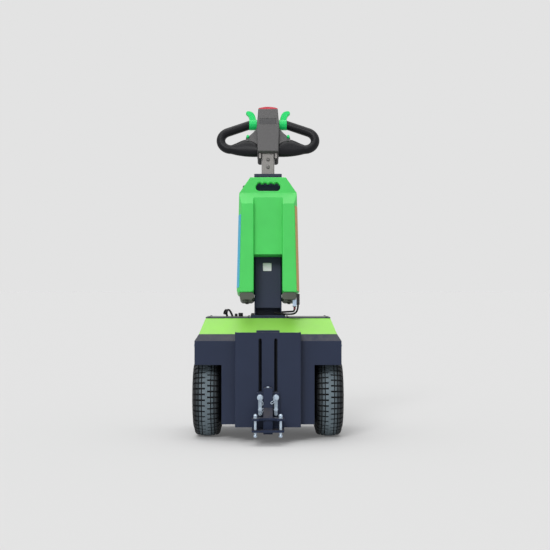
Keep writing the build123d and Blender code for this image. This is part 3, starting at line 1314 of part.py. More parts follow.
with BuildPart() as pack_connector:
    with BuildSketch(MAST_FACE.offset(PLUG_FRONT - PLUG_DEPTH)):
        with Locations((CRADLE_OUTER + SOCKET_HALF_WIDTH / 2, (SOCKET_HALF_BOTTOM + SOCKET_HALF_TOP) / 2)):
            Rectangle(SOCKET_HALF_WIDTH, SOCKET_HALF_TOP - SOCKET_HALF_BOTTOM)
    extrude(amount=PLUG_DEPTH)
save(pack_connector.part, "pack_connector")


# Leads: tubes of straight runs and tangent arcs along hand-chosen points of MAST_FACE

def corner_radii(points):
    """The bend radius at each inner corner, as wide as the shorter of its two runs allows."""
    radii = []
    for before, corner, after in zip(points, points[1:], points[2:]):
        run_in, run_out = Vector(*corner) - Vector(*before), Vector(*after) - Vector(*corner)
        half_turn = radians(run_in.get_angle(run_out)) / 2
        radii.append(BEND_SHARE * min(run_in.length, run_out.length) / tan(half_turn))
    return radii


def make_lead(points):
    """A round lead through the points, bent to an arc at each corner."""
    places = [tuple(MAST_FACE.from_local_coords(Vector(*point))) for point in points]
    radii = corner_radii(places)
    print("bend radii", [round(radius, 1) for radius in radii])
    with BuildPart() as lead:
        with BuildLine() as route:
            FilletPolyline(*places, radius=radii)
        with BuildSketch(Plane(route.line @ 0, z_dir=route.line % 0)):
            Circle(LEAD_RADIUS)
        sweep(path=route.line)
    return lead.part


PLUG_LEAD_POINTS = [
    (53.7, 26.0, -20.0),
    (92.0, 26.0, -6.0),
    (101.0, 20.0, 67.0),
    (101.0, 36.8, 67.0),
]
PACK_LEAD_POINTS = [
    (114.0, 44.8, 67.0),
    (114.0, 16.0, 67.0),
    (84.0, 8.5, 30.0),
    (24.0, 21.0, -2.0),
]
save(make_lead(PLUG_LEAD_POINTS), "plug_lead")
save(make_lead(PACK_LEAD_POINTS), "pack_lead")
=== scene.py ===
# %% [markdown]
# # A walk-behind electric tug
#
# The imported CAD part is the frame: every solid already sits in its place, in metres, with +Z up and
# the coupling towards -Y. This notebook dresses it. It sets the camera, lays the two battery leads,
# gives each surface a procedural finish, and adds what is too fine for the solids: block tread,
# screws, clips, plates and films. Nothing in the frame is moved.

import json
import math

import bmesh
import bpy
from mathutils import Matrix, Vector


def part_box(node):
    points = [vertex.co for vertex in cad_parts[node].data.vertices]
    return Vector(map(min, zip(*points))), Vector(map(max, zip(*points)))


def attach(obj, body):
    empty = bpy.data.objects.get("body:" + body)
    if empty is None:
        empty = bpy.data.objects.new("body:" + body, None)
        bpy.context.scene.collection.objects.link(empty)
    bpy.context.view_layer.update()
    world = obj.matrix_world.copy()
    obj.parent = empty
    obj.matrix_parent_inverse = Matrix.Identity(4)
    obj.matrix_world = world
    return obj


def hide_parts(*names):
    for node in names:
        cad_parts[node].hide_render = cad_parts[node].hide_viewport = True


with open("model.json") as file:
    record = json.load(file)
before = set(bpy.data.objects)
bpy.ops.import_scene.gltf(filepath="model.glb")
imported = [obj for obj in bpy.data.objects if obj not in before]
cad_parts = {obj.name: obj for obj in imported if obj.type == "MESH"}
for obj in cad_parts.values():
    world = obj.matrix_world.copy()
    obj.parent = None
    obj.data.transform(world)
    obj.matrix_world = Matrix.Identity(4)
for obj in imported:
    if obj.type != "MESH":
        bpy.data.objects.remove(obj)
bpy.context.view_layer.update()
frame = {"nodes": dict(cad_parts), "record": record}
scene = bpy.context.scene
nodes = frame["nodes"]

# %% [markdown]
# ## Camera
#
# The photograph is a level front view from a few metres away, as in a catalogue. The focal length is
# written in the photograph's own pixels, and the lens shift puts the horizon and the machine's middle
# on the rows and columns they have there, which keeps upright edges upright.

# %% Camera
PHOTO_SIZE = 550
FOCAL_PIXELS = 1173.0
MIDDLE_COLUMN = 268.0
HORIZON_ROW = 281.0
EYE = Vector((0.0, -4.56, 0.60))


def placed(name, data):
    """An object that holds the data, linked to the scene."""
    made = bpy.data.objects.new(name, data)
    scene.collection.objects.link(made)
    return made


camera_data = bpy.data.cameras.new("photo_camera")
camera_data.sensor_width = 36.0
camera_data.lens = camera_data.sensor_width * FOCAL_PIXELS / PHOTO_SIZE
camera_data.shift_x = (PHOTO_SIZE / 2 - MIDDLE_COLUMN) / PHOTO_SIZE
camera_data.shift_y = (HORIZON_ROW - PHOTO_SIZE / 2) / PHOTO_SIZE
camera = placed("photo_camera", camera_data)
camera.location = EYE
camera.rotation_euler = (math.radians(90), 0, 0)
scene.camera = camera
print("lens", round(camera_data.lens, 1), "mm")

# %% [markdown]
# ## Battery leads
#
# Two short leads join the battery's connector to the wiring in the mast. Each is a fixed length of
# rubber-sheathed cable on one smooth curve, with the same points as its solid, written in the mast's
# own directions: across, up the mast, and out of its front face. A curve with a round bevel is easier to
# lay than a mesh, because its length is that of its line and its thickness is one number.

# %% Leads
LEAD_DIAMETER = 0.007
MAST_LEAN, HEAD_LEAN = math.radians(8), math.radians(25)


def leaning(foot, lean):
    """A function from millimetres across, up and out of a leaning face to a place in the frame."""
    up = Vector((0, math.sin(lean), math.cos(lean)))
    out = Vector((0, -math.cos(lean), math.sin(lean)))
    return lambda across, rise, stand: foot + (Vector((across, 0, 0)) + up * rise + out * stand) / 1000


MAST_FOOT = Vector((0, -0.046, 0.457))
HEAD_RISE, HEAD_STAND = 655, -31
on_mast = leaning(MAST_FOOT, MAST_LEAN)
on_head = leaning(on_mast(0, HEAD_RISE, HEAD_STAND), HEAD_LEAN)
MAST_UP = on_mast(0, 1000, 0) - on_mast(0, 0, 0)
MAST_OUT = on_mast(0, 0, 1000) - on_mast(0, 0, 0)
HEAD_OUT = on_head(0, 0, 1000) - on_head(0, 0, 0)


def round_tube(name, points, diameter, sides, steps):
    """A tube on a smooth curve that starts and ends on the outer points; sides is its bevel resolution."""
    curve = bpy.data.curves.new(name, "CURVE")
    curve.dimensions = "3D"
    curve.bevel_depth = diameter / 2
    curve.bevel_resolution = sides
    curve.resolution_u = steps
    curve.use_fill_caps = True
    spline = curve.splines.new("NURBS")
    spline.points.add(len(points) - 1)
    for place, point in zip(spline.points, points):
        place.co = (*point, 1.0)
    spline.order_u = 3
    spline.use_endpoint_u = True
    return placed(name, curve)


plug_points = [on_mast(*p) for p in ((53.7, 26, -20), (92, 26, -6), (101, 20, 67), (101, 36.8, 67))]
pack_points = [on_mast(*p) for p in ((114, 44.8, 67), (114, 16, 67), (84, 8.5, 30), (24, 21, -2))]
plug_lead = round_tube("plug_lead_cable", plug_points, LEAD_DIAMETER, sides=4, steps=16)
pack_lead = round_tube("pack_lead_cable", pack_points, LEAD_DIAMETER, sides=4, steps=16)
print("leads:", plug_lead.name, "and", pack_lead.name)

# %% [markdown]
# ## Shared surface effects
#
# Three effects turn up on almost every part of a working machine: the fine grain of powder coat and
# moulded plastic, paint worn thin along edges, and dust on what faces up. On the dark paint and the
# coupling jaw the up-facing mask is partly a painted sheen of light from above. Each is a small node group
# with named inputs. A group gives back only what varies over the surface, a value or a normal, and the
# material does the rest.

# %% Node helpers
def add_node(tree, kind, **settings):
    """A node with its properties set; keys that name an input socket set its default value."""
    made = tree.nodes.new(kind)
    for key, value in settings.items():
        if hasattr(made, key):
            setattr(made, key, value)
        else:
            made.inputs[key].default_value = value
    return made


def join(tree, *links):
    """Links between nodes, each a row of a node, its output, another node and its input."""
    for source, output, target, entry in links:
        tree.links.new(source.outputs[output], target.inputs[entry])


def new_group(name, inputs, outputs):
    """An empty shader group with named float inputs (name, default) and outputs (name, type)."""
    tree = bpy.data.node_groups.new(name, "ShaderNodeTree")
    for label, default in inputs:
        socket = tree.interface.new_socket(label, in_out="INPUT", socket_type="NodeSocketFloat")
        socket.default_value = default
    for label, kind in outputs:
        tree.interface.new_socket(label, in_out="OUTPUT", socket_type=kind)
    return tree, tree.nodes.new("NodeGroupInput"), tree.nodes.new("NodeGroupOutput")


# %% Grain group
def make_grain_group():
    """Fine bumps on softly rounded edges, and a broad mottle, in object space."""
    tree, given, result = new_group(
        "fine_grain",
        [("Scale", 900.0), ("Depth", 0.2), ("Mottle Scale", 9.0), ("Edge Radius", 0.0015)],
        [("Mottle", "NodeSocketFloat"), ("Normal", "NodeSocketVector")],
    )
    place = add_node(tree, "ShaderNodeTexCoord")
    fine = add_node(tree, "ShaderNodeTexNoise", Detail=3.0, Roughness=0.6)
    broad = add_node(tree, "ShaderNodeTexNoise", Detail=4.0, Roughness=0.55)
    rounded = add_node(tree, "ShaderNodeBevel", samples=4)
    bump = add_node(tree, "ShaderNodeBump", Distance=0.0004)
    join(
        tree,
        (place, "Object", fine, "Vector"),
        (place, "Object", broad, "Vector"),
        (given, "Scale", fine, "Scale"),
        (given, "Mottle Scale", broad, "Scale"),
        (given, "Depth", bump, "Strength"),
        (given, "Edge Radius", rounded, "Radius"),
        (rounded, "Normal", bump, "Normal"),
        (fine, "Fac", bump, "Height"),
        (broad, "Fac", result, "Mottle"),
        (bump, "Normal", result, "Normal"),
    )
    return tree


GRAIN = make_grain_group()
print("group", GRAIN.name, "of", len(GRAIN.nodes), "nodes")


# %% Edge wear group
def make_wear_group():
    """A patchy mask along convex edges, found by comparing the normal with a rounded one."""
    tree, given, result = new_group(
        "edge_wear",
        [("Radius", 0.003), ("Patch Scale", 60.0), ("Amount", 0.6)],
        [("Mask", "NodeSocketFloat")],
    )
    place = add_node(tree, "ShaderNodeTexCoord")
    rounded = add_node(tree, "ShaderNodeBevel", samples=4)
    shape = add_node(tree, "ShaderNodeNewGeometry")
    facing = add_node(tree, "ShaderNodeVectorMath", operation="DOT_PRODUCT")
    edge = add_node(tree, "ShaderNodeMapRange", **{"From Min": 0.985, "From Max": 0.80})
    patch = add_node(tree, "ShaderNodeTexNoise", Detail=5.0, Roughness=0.7)
    patchy = add_node(tree, "ShaderNodeMapRange", **{"From Min": 0.42, "From Max": 0.66})
    both = add_node(tree, "ShaderNodeMath", operation="MULTIPLY")
    scaled = add_node(tree, "ShaderNodeMath", operation="MULTIPLY")
    join(
        tree,
        (given, "Radius", rounded, "Radius"),
        (rounded, "Normal", facing, 0),
        (shape, "Normal", facing, 1),
        (facing, "Value", edge, "Value"),
        (place, "Object", patch, "Vector"),
        (given, "Patch Scale", patch, "Scale"),
        (patch, "Fac", patchy, "Value"),
        (edge, "Result", both, 0),
        (patchy, "Result", both, 1),
        (both, "Value", scaled, 0),
        (given, "Amount", scaled, 1),
        (scaled, "Value", result, "Mask"),
    )
    return tree


WEAR = make_wear_group()
print("group", WEAR.name, "of", len(WEAR.nodes), "nodes")


# %% Dust and painted sheen group
def make_dust_and_sheen_group():
    """A cloudy mask on faces that look up."""
    tree, given, result = new_group(
        "dust_and_sheen_mask",
        [("Cloud Scale", 14.0), ("Amount", 0.3)],
        [("Mask", "NodeSocketFloat")],
    )
    place = add_node(tree, "ShaderNodeTexCoord")
    shape = add_node(tree, "ShaderNodeNewGeometry")
    split = add_node(tree, "ShaderNodeSeparateXYZ")
    upward = add_node(tree, "ShaderNodeMapRange", **{"From Min": 0.35, "From Max": 0.8})
    cloud = add_node(tree, "ShaderNodeTexNoise", Detail=5.0, Roughness=0.6)
    cloudy = add_node(tree, "ShaderNodeMapRange", **{"From Min": 0.3, "From Max": 0.75})
    both = add_node(tree, "ShaderNodeMath", operation="MULTIPLY")
    scaled = add_node(tree, "ShaderNodeMath", operation="MULTIPLY")
    join(
        tree,
        (shape, "Normal", split, "Vector"),
        (split, "Z", upward, "Value"),
        (place, "Object", cloud, "Vector"),
        (given, "Cloud Scale", cloud, "Scale"),
        (cloud, "Fac", cloudy, "Value"),
        (upward, "Result", both, 0),
        (cloudy, "Result", both, 1),
        (both, "Value", scaled, 0),
        (given, "Amount", scaled, 1),
        (scaled, "Value", result, "Mask"),
    )
    return tree


DUST_AND_SHEEN = make_dust_and_sheen_group()
print("group", DUST_AND_SHEEN.name, "of", len(DUST_AND_SHEEN.nodes), "nodes")

# %% [markdown]
# ## Finishes
#
# One recipe serves every finish: a base colour with a soft mottle, a second colour where edges are
# worn, a third where dust lies, which on the dark paint and the jaw is partly a painted sheen, and grain
# in the normal. The numbers make it powder coat, moulded plastic, rubber or plated steel. Painted images
# would need unwrapped surfaces, and noise on object coordinates needs none. Colours are sRGB values,
# written as they look in soft light.

# %% Finish recipe
# A Mix node that mixes colours has them on these of its sockets.
COLOUR_A, COLOUR_B, COLOUR_OUT = 6, 7, 2


def linear(red, green, blue):
    """A shader colour from sRGB values of 0 to 255."""
    channels = []
    for value in (red, green, blue):
        part = value / 255
        channels.append(part / 12.92 if part <= 0.04045 else ((part + 0.055) / 1.055) ** 2.4)
    return (*channels, 1.0)


def finish(name, colour, worn, roughness, metallic=0.0, grain=900.0, depth=0.2, mottle=0.12,
           wear=0.5, wear_radius=0.003, dust_and_sheen=0.25, dust_and_sheen_colour=(150, 146, 138), specular=0.5):
    """A procedural material: mottled base, worn edges, dust on top that on some finishes is partly a
    painted sheen, and grain in the normal.
    """
    made = bpy.data.materials.new(name)
    made.use_nodes = True
    tree = made.node_tree
    shader = tree.nodes["Principled BSDF"]
    shader.inputs["Metallic"].default_value = metallic
    shader.inputs["Specular IOR Level"].default_value = specular
    texture = add_node(tree, "ShaderNodeGroup", node_tree=GRAIN, Scale=grain, Depth=depth)
    edges = add_node(tree, "ShaderNodeGroup", node_tree=WEAR, Radius=wear_radius, Amount=wear)
    # Dust on faces that look up, which on the dark paint and the jaw is partly a painted sheen.
    dust_and_sheen_node = add_node(tree, "ShaderNodeGroup", node_tree=DUST_AND_SHEEN, Amount=dust_and_sheen)
    base = linear(*colour)
    mottled = add_node(tree, "ShaderNodeMix", data_type="RGBA")
    mottled.inputs[COLOUR_A].default_value = tuple(c * (1 - mottle) for c in base[:3]) + (1.0,)
    mottled.inputs[COLOUR_B].default_value = tuple(min(1.0, c * (1 + mottle)) for c in base[:3]) + (1.0,)
    rubbed = add_node(tree, "ShaderNodeMix", data_type="RGBA")
    rubbed.inputs[COLOUR_B].default_value = linear(*worn)
    dust_and_sheen_mix = add_node(tree, "ShaderNodeMix", data_type="RGBA")
    dust_and_sheen_mix.inputs[COLOUR_B].default_value = linear(*dust_and_sheen_colour)
    rough = add_node(tree, "ShaderNodeMapRange", **{"To Min": roughness - 0.07, "To Max": roughness + 0.09})
    join(
        tree,
        (texture, "Mottle", mottled, "Factor"),
        (mottled, COLOUR_OUT, rubbed, COLOUR_A),
        (edges, "Mask", rubbed, "Factor"),
        (rubbed, COLOUR_OUT, dust_and_sheen_mix, COLOUR_A),
        (dust_and_sheen_node, "Mask", dust_and_sheen_mix, "Factor"),
        (dust_and_sheen_mix, COLOUR_OUT, shader, "Base Color"),
        (texture, "Mottle", rough, "Value"),
        (rough, "Result", shader, "Roughness"),
        (texture, "Normal", shader, "Normal"),
    )
    return made


# %% Finishes of the record's slots
FINISHES = {
    # The dark paint's warm grey on up-facing faces is partly dust and partly a painted sheen of light from
    # above on its sloped band.
    "dark_paint": finish("dark_powder_coat", (30, 41, 66), (80, 90, 108), 0.42, specular=0.35, dust_and_sheen=0.5,
                         dust_and_sheen_colour=(150, 143, 122)),
    "green_paint": finish("green_powder_coat", (146, 219, 84), (190, 240, 150), 0.4, specular=0.4,
                          dust_and_sheen=0.1),
    "green_plastic": finish("green_moulding", (70, 206, 92), (150, 232, 140), 0.4, grain=1400, specular=0.4,
                            dust_and_sheen=0.08, dust_and_sheen_colour=(190, 210, 160)),
    "grey_plastic": finish("grey_moulding", (79, 78, 79), (120, 119, 120), 0.5, grain=1400, dust_and_sheen=0.15),
    "black_plastic": finish("black_moulding", (18, 19, 21), (50, 50, 52), 0.5, grain=1200, dust_and_sheen=0.1,
                            specular=0.4),
    "grip_rubber": finish("grip_rubber", (10, 11, 17), (36, 38, 46), 0.42, grain=700, depth=0.3, dust_and_sheen=0.04,
                          specular=0.24),
    "green_control": finish("green_control", (12, 216, 108), (96, 230, 150), 0.36, grain=1200, dust_and_sheen=0.03,
                            specular=0.35),
    "red_plastic": finish("red_moulding", (196, 40, 62), (214, 120, 124), 0.4, grain=1200, dust_and_sheen=0.08),
    "pale_plastic": finish("pale_moulding", (176, 197, 220), (204, 214, 224), 0.45, grain=1000, dust_and_sheen=0.1),
    "cable_sheath": finish("cable_sheath", (13, 13, 16), (34, 34, 36), 0.6, grain=800, wear=0.1, dust_and_sheen=0.05,
                           specular=0.3),
    "zinc": finish("zinc_plate", (190, 206, 222), (220, 228, 234), 0.32, metallic=0.55, grain=500,
                   mottle=0.2),
    "bright_steel": finish("ground_steel", (190, 200, 208), (214, 218, 220), 0.24, metallic=0.7,
                           depth=0.08),
    "grey_metal": finish("grey_satin_tube", (134, 131, 129), (166, 164, 162), 0.38, metallic=0.3, dust_and_sheen=0.1),
    "cast_metal": finish("painted_casting", (58, 58, 58), (96, 96, 96), 0.6, grain=350, depth=0.5),
    "rim_metal": finish("rim_paint", (178, 180, 180), (202, 203, 203), 0.36, metallic=0.4),
    "tyre_rubber": finish("tyre_rubber", (20, 22, 25), (48, 52, 56), 0.75, grain=500, depth=0.4, dust_and_sheen=0.08,
                          specular=0.25),
    "castor_rubber": finish("castor_rubber", (88, 88, 92), (120, 120, 122), 0.7, grain=600, depth=0.3),
}
OWN_FINISHES = {
    "battery_cradles": finish("cradle_steel", (76, 82, 72), (126, 130, 120), 0.45, metallic=0.35,
                              mottle=0.3),
    # The guide rods are darkened as painted shade, so the slots in front of them look shadowed inside.
    "guide_rods": finish("rod_dark_as_slot_shade", (46, 49, 56), (90, 92, 96), 0.35, metallic=0.7),
    # The jaw's brown up-facing colour is a painted sheen from above, kept dim as a painted shade on its
    # ramp under the post.
    "coupling_jaw": finish("jaw_coat", (30, 41, 66), (80, 90, 108), 0.5, specular=0.25, dust_and_sheen=0.7,
                           dust_and_sheen_colour=(76, 66, 50)),
    # The links' zinc is darker and more mottled than the bolts' as painted shade, parting them as shadows
    # would.
    "coupling_links": finish("zinc_darkened_as_shade", (172, 188, 203), (206, 214, 222), 0.38, metallic=0.4,
                             mottle=0.4),
}
for entry in frame["record"]["subparts"]:
    mesh = nodes[entry["node"]].data
    mesh.materials.clear()
    mesh.materials.append(OWN_FINISHES.get(entry["node"], FINISHES[entry["material_slot"]]))

# %% Leads take their finish
for cable, node in ((plug_lead, "plug_lead"), (pack_lead, "pack_lead")):
    cable.data.materials.append(FINISHES["cable_sheath"])
    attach(cable, "chassis")
    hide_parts(node)
print("cords:", plug_lead.name, "and", pack_lead.name)

# %% [markdown]
# ## Tyres
#
# The solid of a tyre has a smooth crown, and its blocks are made here. The carcass is the solid's own
# section turned about the axle, with two moulded rings on each sidewall and the crown sunk to the bottom
# of the grooves. One pitch of the tread is modelled: a rib that runs on round the middle, and on each side
# three blocks, the outer one wrapped down over the shoulder. The right half sits half a pitch ahead of the
# left one. Cutting grooves into a smooth tyre would leave ragged edges, so the blocks are built up. A
# Geometry Nodes group repeats that pitch around the axle, so the number of pitches is one input. The
# blocks are paler than the grooves and sidewalls as a painted sheen, and darker towards the shoulders as a
# painted shade.

# %% Section of the tyre
TYRE_RADIUS = 0.155
CROWN_BEND, CROWN_EDGE = (0.0165, 0.154), (0.033, 0.151)
SHOULDER_BEND, SHOULDER_FOOT = (0.045, 0.1454), (0.049, 0.135)
BEAD_HALF, BEAD_RADIUS, BEAD_TOP = 0.036, 0.058, 0.0674
SIDE_BULGE = 0.0095
SIDE_RINGS = ((0.079, 0.0835), (0.117, 0.1215))
RING_PROUD = 0.0011
CROWN_STEPS, SHOULDER_STEPS, WALL_STEPS, CARCASS_STEPS = 6, 8, 36, 96
GROOVE_DEPTH, TAPER_POINTS = 0.0055, 3
PITCHES = 44


def arc_through(a, b, c, steps):
    """Points on the circle from a by b to c, all (across, radius)."""
    (ax, ay), (bx, by), (cx, cy) = a, b, c
    d = 2 * (ax * (by - cy) + bx * (cy - ay) + cx * (ay - by))
    aa, bb, cc = ax * ax + ay * ay, bx * bx + by * by, cx * cx + cy * cy
    ux = (aa * (by - cy) + bb * (cy - ay) + cc * (ay - by)) / d
    uy = (aa * (cx - bx) + bb * (ax - cx) + cc * (bx - ax)) / d
    start, end = math.atan2(ay - uy, ax - ux), math.atan2(cy - uy, cx - ux)
    radius = math.hypot(ax - ux, ay - uy)
    return [
        (ux + radius * math.cos(start + (end - start) * i / steps),
         uy + radius * math.sin(start + (end - start) * i / steps))
        for i in range(steps + 1)
    ]


def outer_section():
    """The solid's outer half section from the middle of the crown to the shoulder's foot."""
    crown = arc_through((0, TYRE_RADIUS), CROWN_BEND, CROWN_EDGE, CROWN_STEPS)
    shoulder = arc_through(CROWN_EDGE, SHOULDER_BEND, SHOULDER_FOOT, SHOULDER_STEPS)
    return crown + shoulder[1:]


def sunk(section, depth):
    """The section moved inwards along its normals, tapering to nothing at the shoulder's foot."""
    moved = []
    for i, (x, r) in enumerate(section):
        (x0, r0), (x1, r1) = section[max(0, i - 1)], section[min(len(section) - 1, i + 1)]
        length = math.hypot(x1 - x0, r1 - r0)
        nx, nr = (r1 - r0) / length, -(x1 - x0) / length
        share = depth * min(1.0, (len(section) - 1 - i) / TAPER_POINTS)
        moved.append((x + nx * share, r + nr * share))
    return moved


def ring_height(radius):
    """How far the sidewall stands proud at a radius, where one of its moulded rings runs."""
    return RING_PROUD if any(low < radius < high for low, high in SIDE_RINGS) else 0.0


def carcass_section():
    """Closed half section: bead, bulged sidewall, shoulder and the floor of the grooves."""
    foot_half, foot_radius = SHOULDER_FOOT
    chord = (foot_half - BEAD_HALF, foot_radius - BEAD_TOP)
    length = math.hypot(*chord)
    middle = (
        (BEAD_HALF + foot_half) / 2 + chord[1] / length * SIDE_BULGE,
        (BEAD_TOP + foot_radius) / 2 - chord[0] / length * SIDE_BULGE,
    )
    wall = arc_through((BEAD_HALF, BEAD_TOP), middle, SHOULDER_FOOT, WALL_STEPS)
    wall = [(x + ring_height(r), r) for x, r in wall]
    floor = sunk(outer_section(), GROOVE_DEPTH)
    return [(0, BEAD_RADIUS), (BEAD_HALF, BEAD_RADIUS)] + wall + floor[::-1][1:]


print("half section of", len(carcass_section()), "points")


# %% Turned carcass
def bridge(made, rings):
    """Faces from each ring of points to the next, triangles where a ring's points are all one pole."""
    for low, high in zip(rings, rings[1:]):
        for i in range(len(low)):
            k = (i + 1) % len(low)
            corners = dict.fromkeys((low[i], low[k], high[k], high[i]))
            made.faces.new(list(corners))


def outward(made):
    """The mesh with its faces turned outwards."""
    bmesh.ops.recalc_face_normals(made, faces=made.faces)
    return made


def turned(half, steps):
    """A mesh from a half section mirrored across the wheel and turned about the X axis."""
    ring = [(x, r) for x, r in half] + [(-x, r) for x, r in half[::-1][1:-1]]
    made = bmesh.new()
    rows = []
    for step in range(steps):
        a = 2 * math.pi * step / steps
        rows.append([made.verts.new((x, r * math.sin(a), r * math.cos(a))) for x, r in ring])
    bridge(made, rows + rows[:1])
    return outward(made)


carcass = turned(carcass_section(), CARCASS_STEPS)
print("carcass of", len(carcass.faces), "faces")

# %% One pitch of blocks
BLOCK_STEPS = 3
WELD = 1e-6


def block(made, outer, inner, start, end, ends=True):
    """A curved tread block between two angles, from an outer and an inner line of its section.

    It is closed all round. A rib that runs on has no ends.
    """
    rows = []
    for i in range(BLOCK_STEPS + 1):
        a = start + (end - start) * i / BLOCK_STEPS
        rows.append([
            [made.verts.new((x, r * math.sin(a), r * math.cos(a))) for x, r in line]
            for line in (outer, inner)
        ])
    last = len(outer) - 1
    for (top_a, low_a), (top_b, low_b) in zip(rows, rows[1:]):
        for j in range(last):
            made.faces.new((top_a[j], top_a[j + 1], top_b[j + 1], top_b[j]))
            made.faces.new((low_a[j], low_b[j], low_b[j + 1], low_a[j + 1]))
        made.faces.new((top_a[0], top_b[0], low_b[0], low_a[0]))
        made.faces.new((top_a[last], low_a[last], low_b[last], top_b[last]))
    for top, low in (rows[0], rows[-1]) if ends else ():
        for j in range(last):
            made.faces.new((top[j], top[j + 1], low[j + 1], low[j]))
    own = [vertex for pair in rows for line in pair for vertex in line]
    bmesh.ops.remove_doubles(made, verts=own, dist=WELD)


ROOT_DEPTH = GROOVE_DEPTH * 1.1
RIB_HALF = 0.0042
BLOCK_COLUMNS = ((0.0042, 0.0155), (0.0190, 0.0280), (0.0316, 0.0490))
BLOCK_FILL = 0.7


def section_radius(section, x):
    """The section's radius at a distance across, between its points."""
    for (x0, r0), (x1, r1) in zip(section, section[1:]):
        if x0 <= x <= x1 and x1 > x0:
            return r0 + (r1 - r0) * (x - x0) / (x1 - x0)
    return section[-1][1]


def tread_pitch():
    """One pitch: the middle rib's share and three blocks on each side, half a pitch apart."""
    section = outer_section()
    root = sunk(section, ROOT_DEPTH)
    pitch = 2 * math.pi / PITCHES
    made = bmesh.new()
    rib = [(x, section_radius(section, abs(x))) for x in (-RIB_HALF, 0.0, RIB_HALF)]
    block(made, rib, [(x, r - ROOT_DEPTH) for x, r in rib], 0.0, pitch, ends=False)
    for low, high in BLOCK_COLUMNS:
        ends = [(x, section_radius(section, x)) for x in (low, high)]
        outer = ends[:1] + [p for p in section if low < p[0] < high] + ends[1:]
        inner = [(x, section_radius(root, x)) for x, _ in outer]
        for side, start in ((-1, 0.0), (1, 0.5 * pitch)):
            line_out = [(side * x, r) for x, r in outer]
            line_in = [(side * x, r) for x, r in inner]
            block(made, line_out, line_in, start, start + pitch * BLOCK_FILL)
    return outward(made)


pitch_mesh = bpy.data.meshes.new("tread_pitch")
tread_pitch().to_mesh(pitch_mesh)
print("pitch of", len(pitch_mesh.polygons), "faces")


# %% Geometry Nodes: a pitch repeated round the axle
def new_geometry_group(name, inputs):
    """An empty Geometry Nodes group: a geometry, the named inputs (name, type) and a material."""
    tree = bpy.data.node_groups.new(name, "GeometryNodeTree")
    for label, kind in (("Geometry", "Geometry"), *inputs, ("Material", "Material")):
        tree.interface.new_socket(label, in_out="INPUT", socket_type="NodeSocket" + kind)
    tree.interface.new_socket("Geometry", in_out="OUTPUT", socket_type="NodeSocketGeometry")
    return tree, tree.nodes.new("NodeGroupInput"), tree.nodes.new("NodeGroupOutput")


def make_ring_group():
    """Repeats the object's mesh about the X axis and gives the copies a material."""
    tree, given, result = new_geometry_group("repeat_round_axle", [("Pitches", "Int")])
    line = add_node(tree, "GeometryNodeMeshLine", Offset=(0, 0, 0))
    index = add_node(tree, "GeometryNodeInputIndex")
    share = add_node(tree, "ShaderNodeMath", operation="DIVIDE")
    angle = add_node(tree, "ShaderNodeMath", operation="MULTIPLY")
    angle.inputs[1].default_value = 2 * math.pi
    turn = add_node(tree, "ShaderNodeCombineXYZ")
    copies = add_node(tree, "GeometryNodeInstanceOnPoints")
    real = add_node(tree, "GeometryNodeRealizeInstances")
    coat = add_node(tree, "GeometryNodeSetMaterial")
    join(
        tree,
        (given, "Pitches", line, "Count"),
        (index, 0, share, 0),
        (given, "Pitches", share, 1),
        (share, 0, angle, 0),
        (angle, 0, turn, "X"),
        (line, "Mesh", copies, "Points"),
        (given, "Geometry", copies, "Instance"),
        (turn, "Vector", copies, "Rotation"),
        (copies, "Instances", real, "Geometry"),
        (real, "Geometry", coat, "Geometry"),
        (given, "Material", coat, "Material"),
        (coat, "Geometry", result, "Geometry"),
    )
    return tree


def evaluated(carrier):
    """A plain mesh of what an object looks like with its modifiers or its bevel."""
    bpy.context.view_layer.update()
    graph = bpy.context.evaluated_depsgraph_get()
    return bpy.data.meshes.new_from_object(carrier.evaluated_get(graph))


def baked(group, mesh, settings):
    """The mesh that a Geometry Nodes group makes from another mesh, with its inputs set by name."""
    carrier = placed("carrier", mesh)
    modifier = carrier.modifiers.new(group.name, "NODES")
    modifier.node_group = group
    for item in group.interface.items_tree:
        if item.in_out == "INPUT" and item.name in settings:
            modifier[item.identifier] = settings[item.name]
    made = evaluated(carrier)
    carrier.modifiers.clear()
    bpy.data.objects.remove(carrier)
    return made


RING = make_ring_group()
print("group", RING.name, "of", len(RING.nodes), "nodes")


# %% Tread finish with painted sheen and shade
def sheen_and_shade_tread(dark, middle, narrow, wide):
    """Tread rubber: pale as a painted sheen, darker towards both shoulders of each tyre as a painted shade.
    """
    made = finish("sheen_and_shade_tread", (106, 120, 128), (130, 140, 147), 0.6, grain=500, depth=0.3, mottle=0.3,
                  dust_and_sheen=0.05, specular=0.3)
    tree = made.node_tree
    colour = tree.nodes["Principled BSDF"].inputs["Base Color"]
    pale = colour.links[0].from_socket
    place = add_node(tree, "ShaderNodeTexCoord")
    split = add_node(tree, "ShaderNodeSeparateXYZ")
    from_machine = add_node(tree, "ShaderNodeMath", operation="ABSOLUTE")
    from_middle = add_node(tree, "ShaderNodeMath", operation="SUBTRACT")
    from_middle.inputs[1].default_value = middle
    off_middle = add_node(tree, "ShaderNodeMath", operation="ABSOLUTE")
    fade = add_node(tree, "ShaderNodeMapRange", **{"From Min": narrow, "From Max": wide})
    blend = add_node(tree, "ShaderNodeMix", data_type="RGBA")
    blend.inputs[COLOUR_B].default_value = linear(*dark)
    join(
        tree,
        (place, "Object", split, "Vector"),
        (split, "X", from_machine, 0),
        (from_machine, "Value", from_middle, 0),
        (from_middle, "Value", off_middle, 0),
        (off_middle, "Value", fade, "Value"),
        (fade, "Result", blend, "Factor"),
    )
    tree.links.new(pale, blend.inputs[COLOUR_A])
    tree.links.new(blend.outputs[COLOUR_OUT], colour)
    return made


tyre_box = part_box("right_tyre")
tyre_middle = (tyre_box[0].x + tyre_box[1].x) / 2
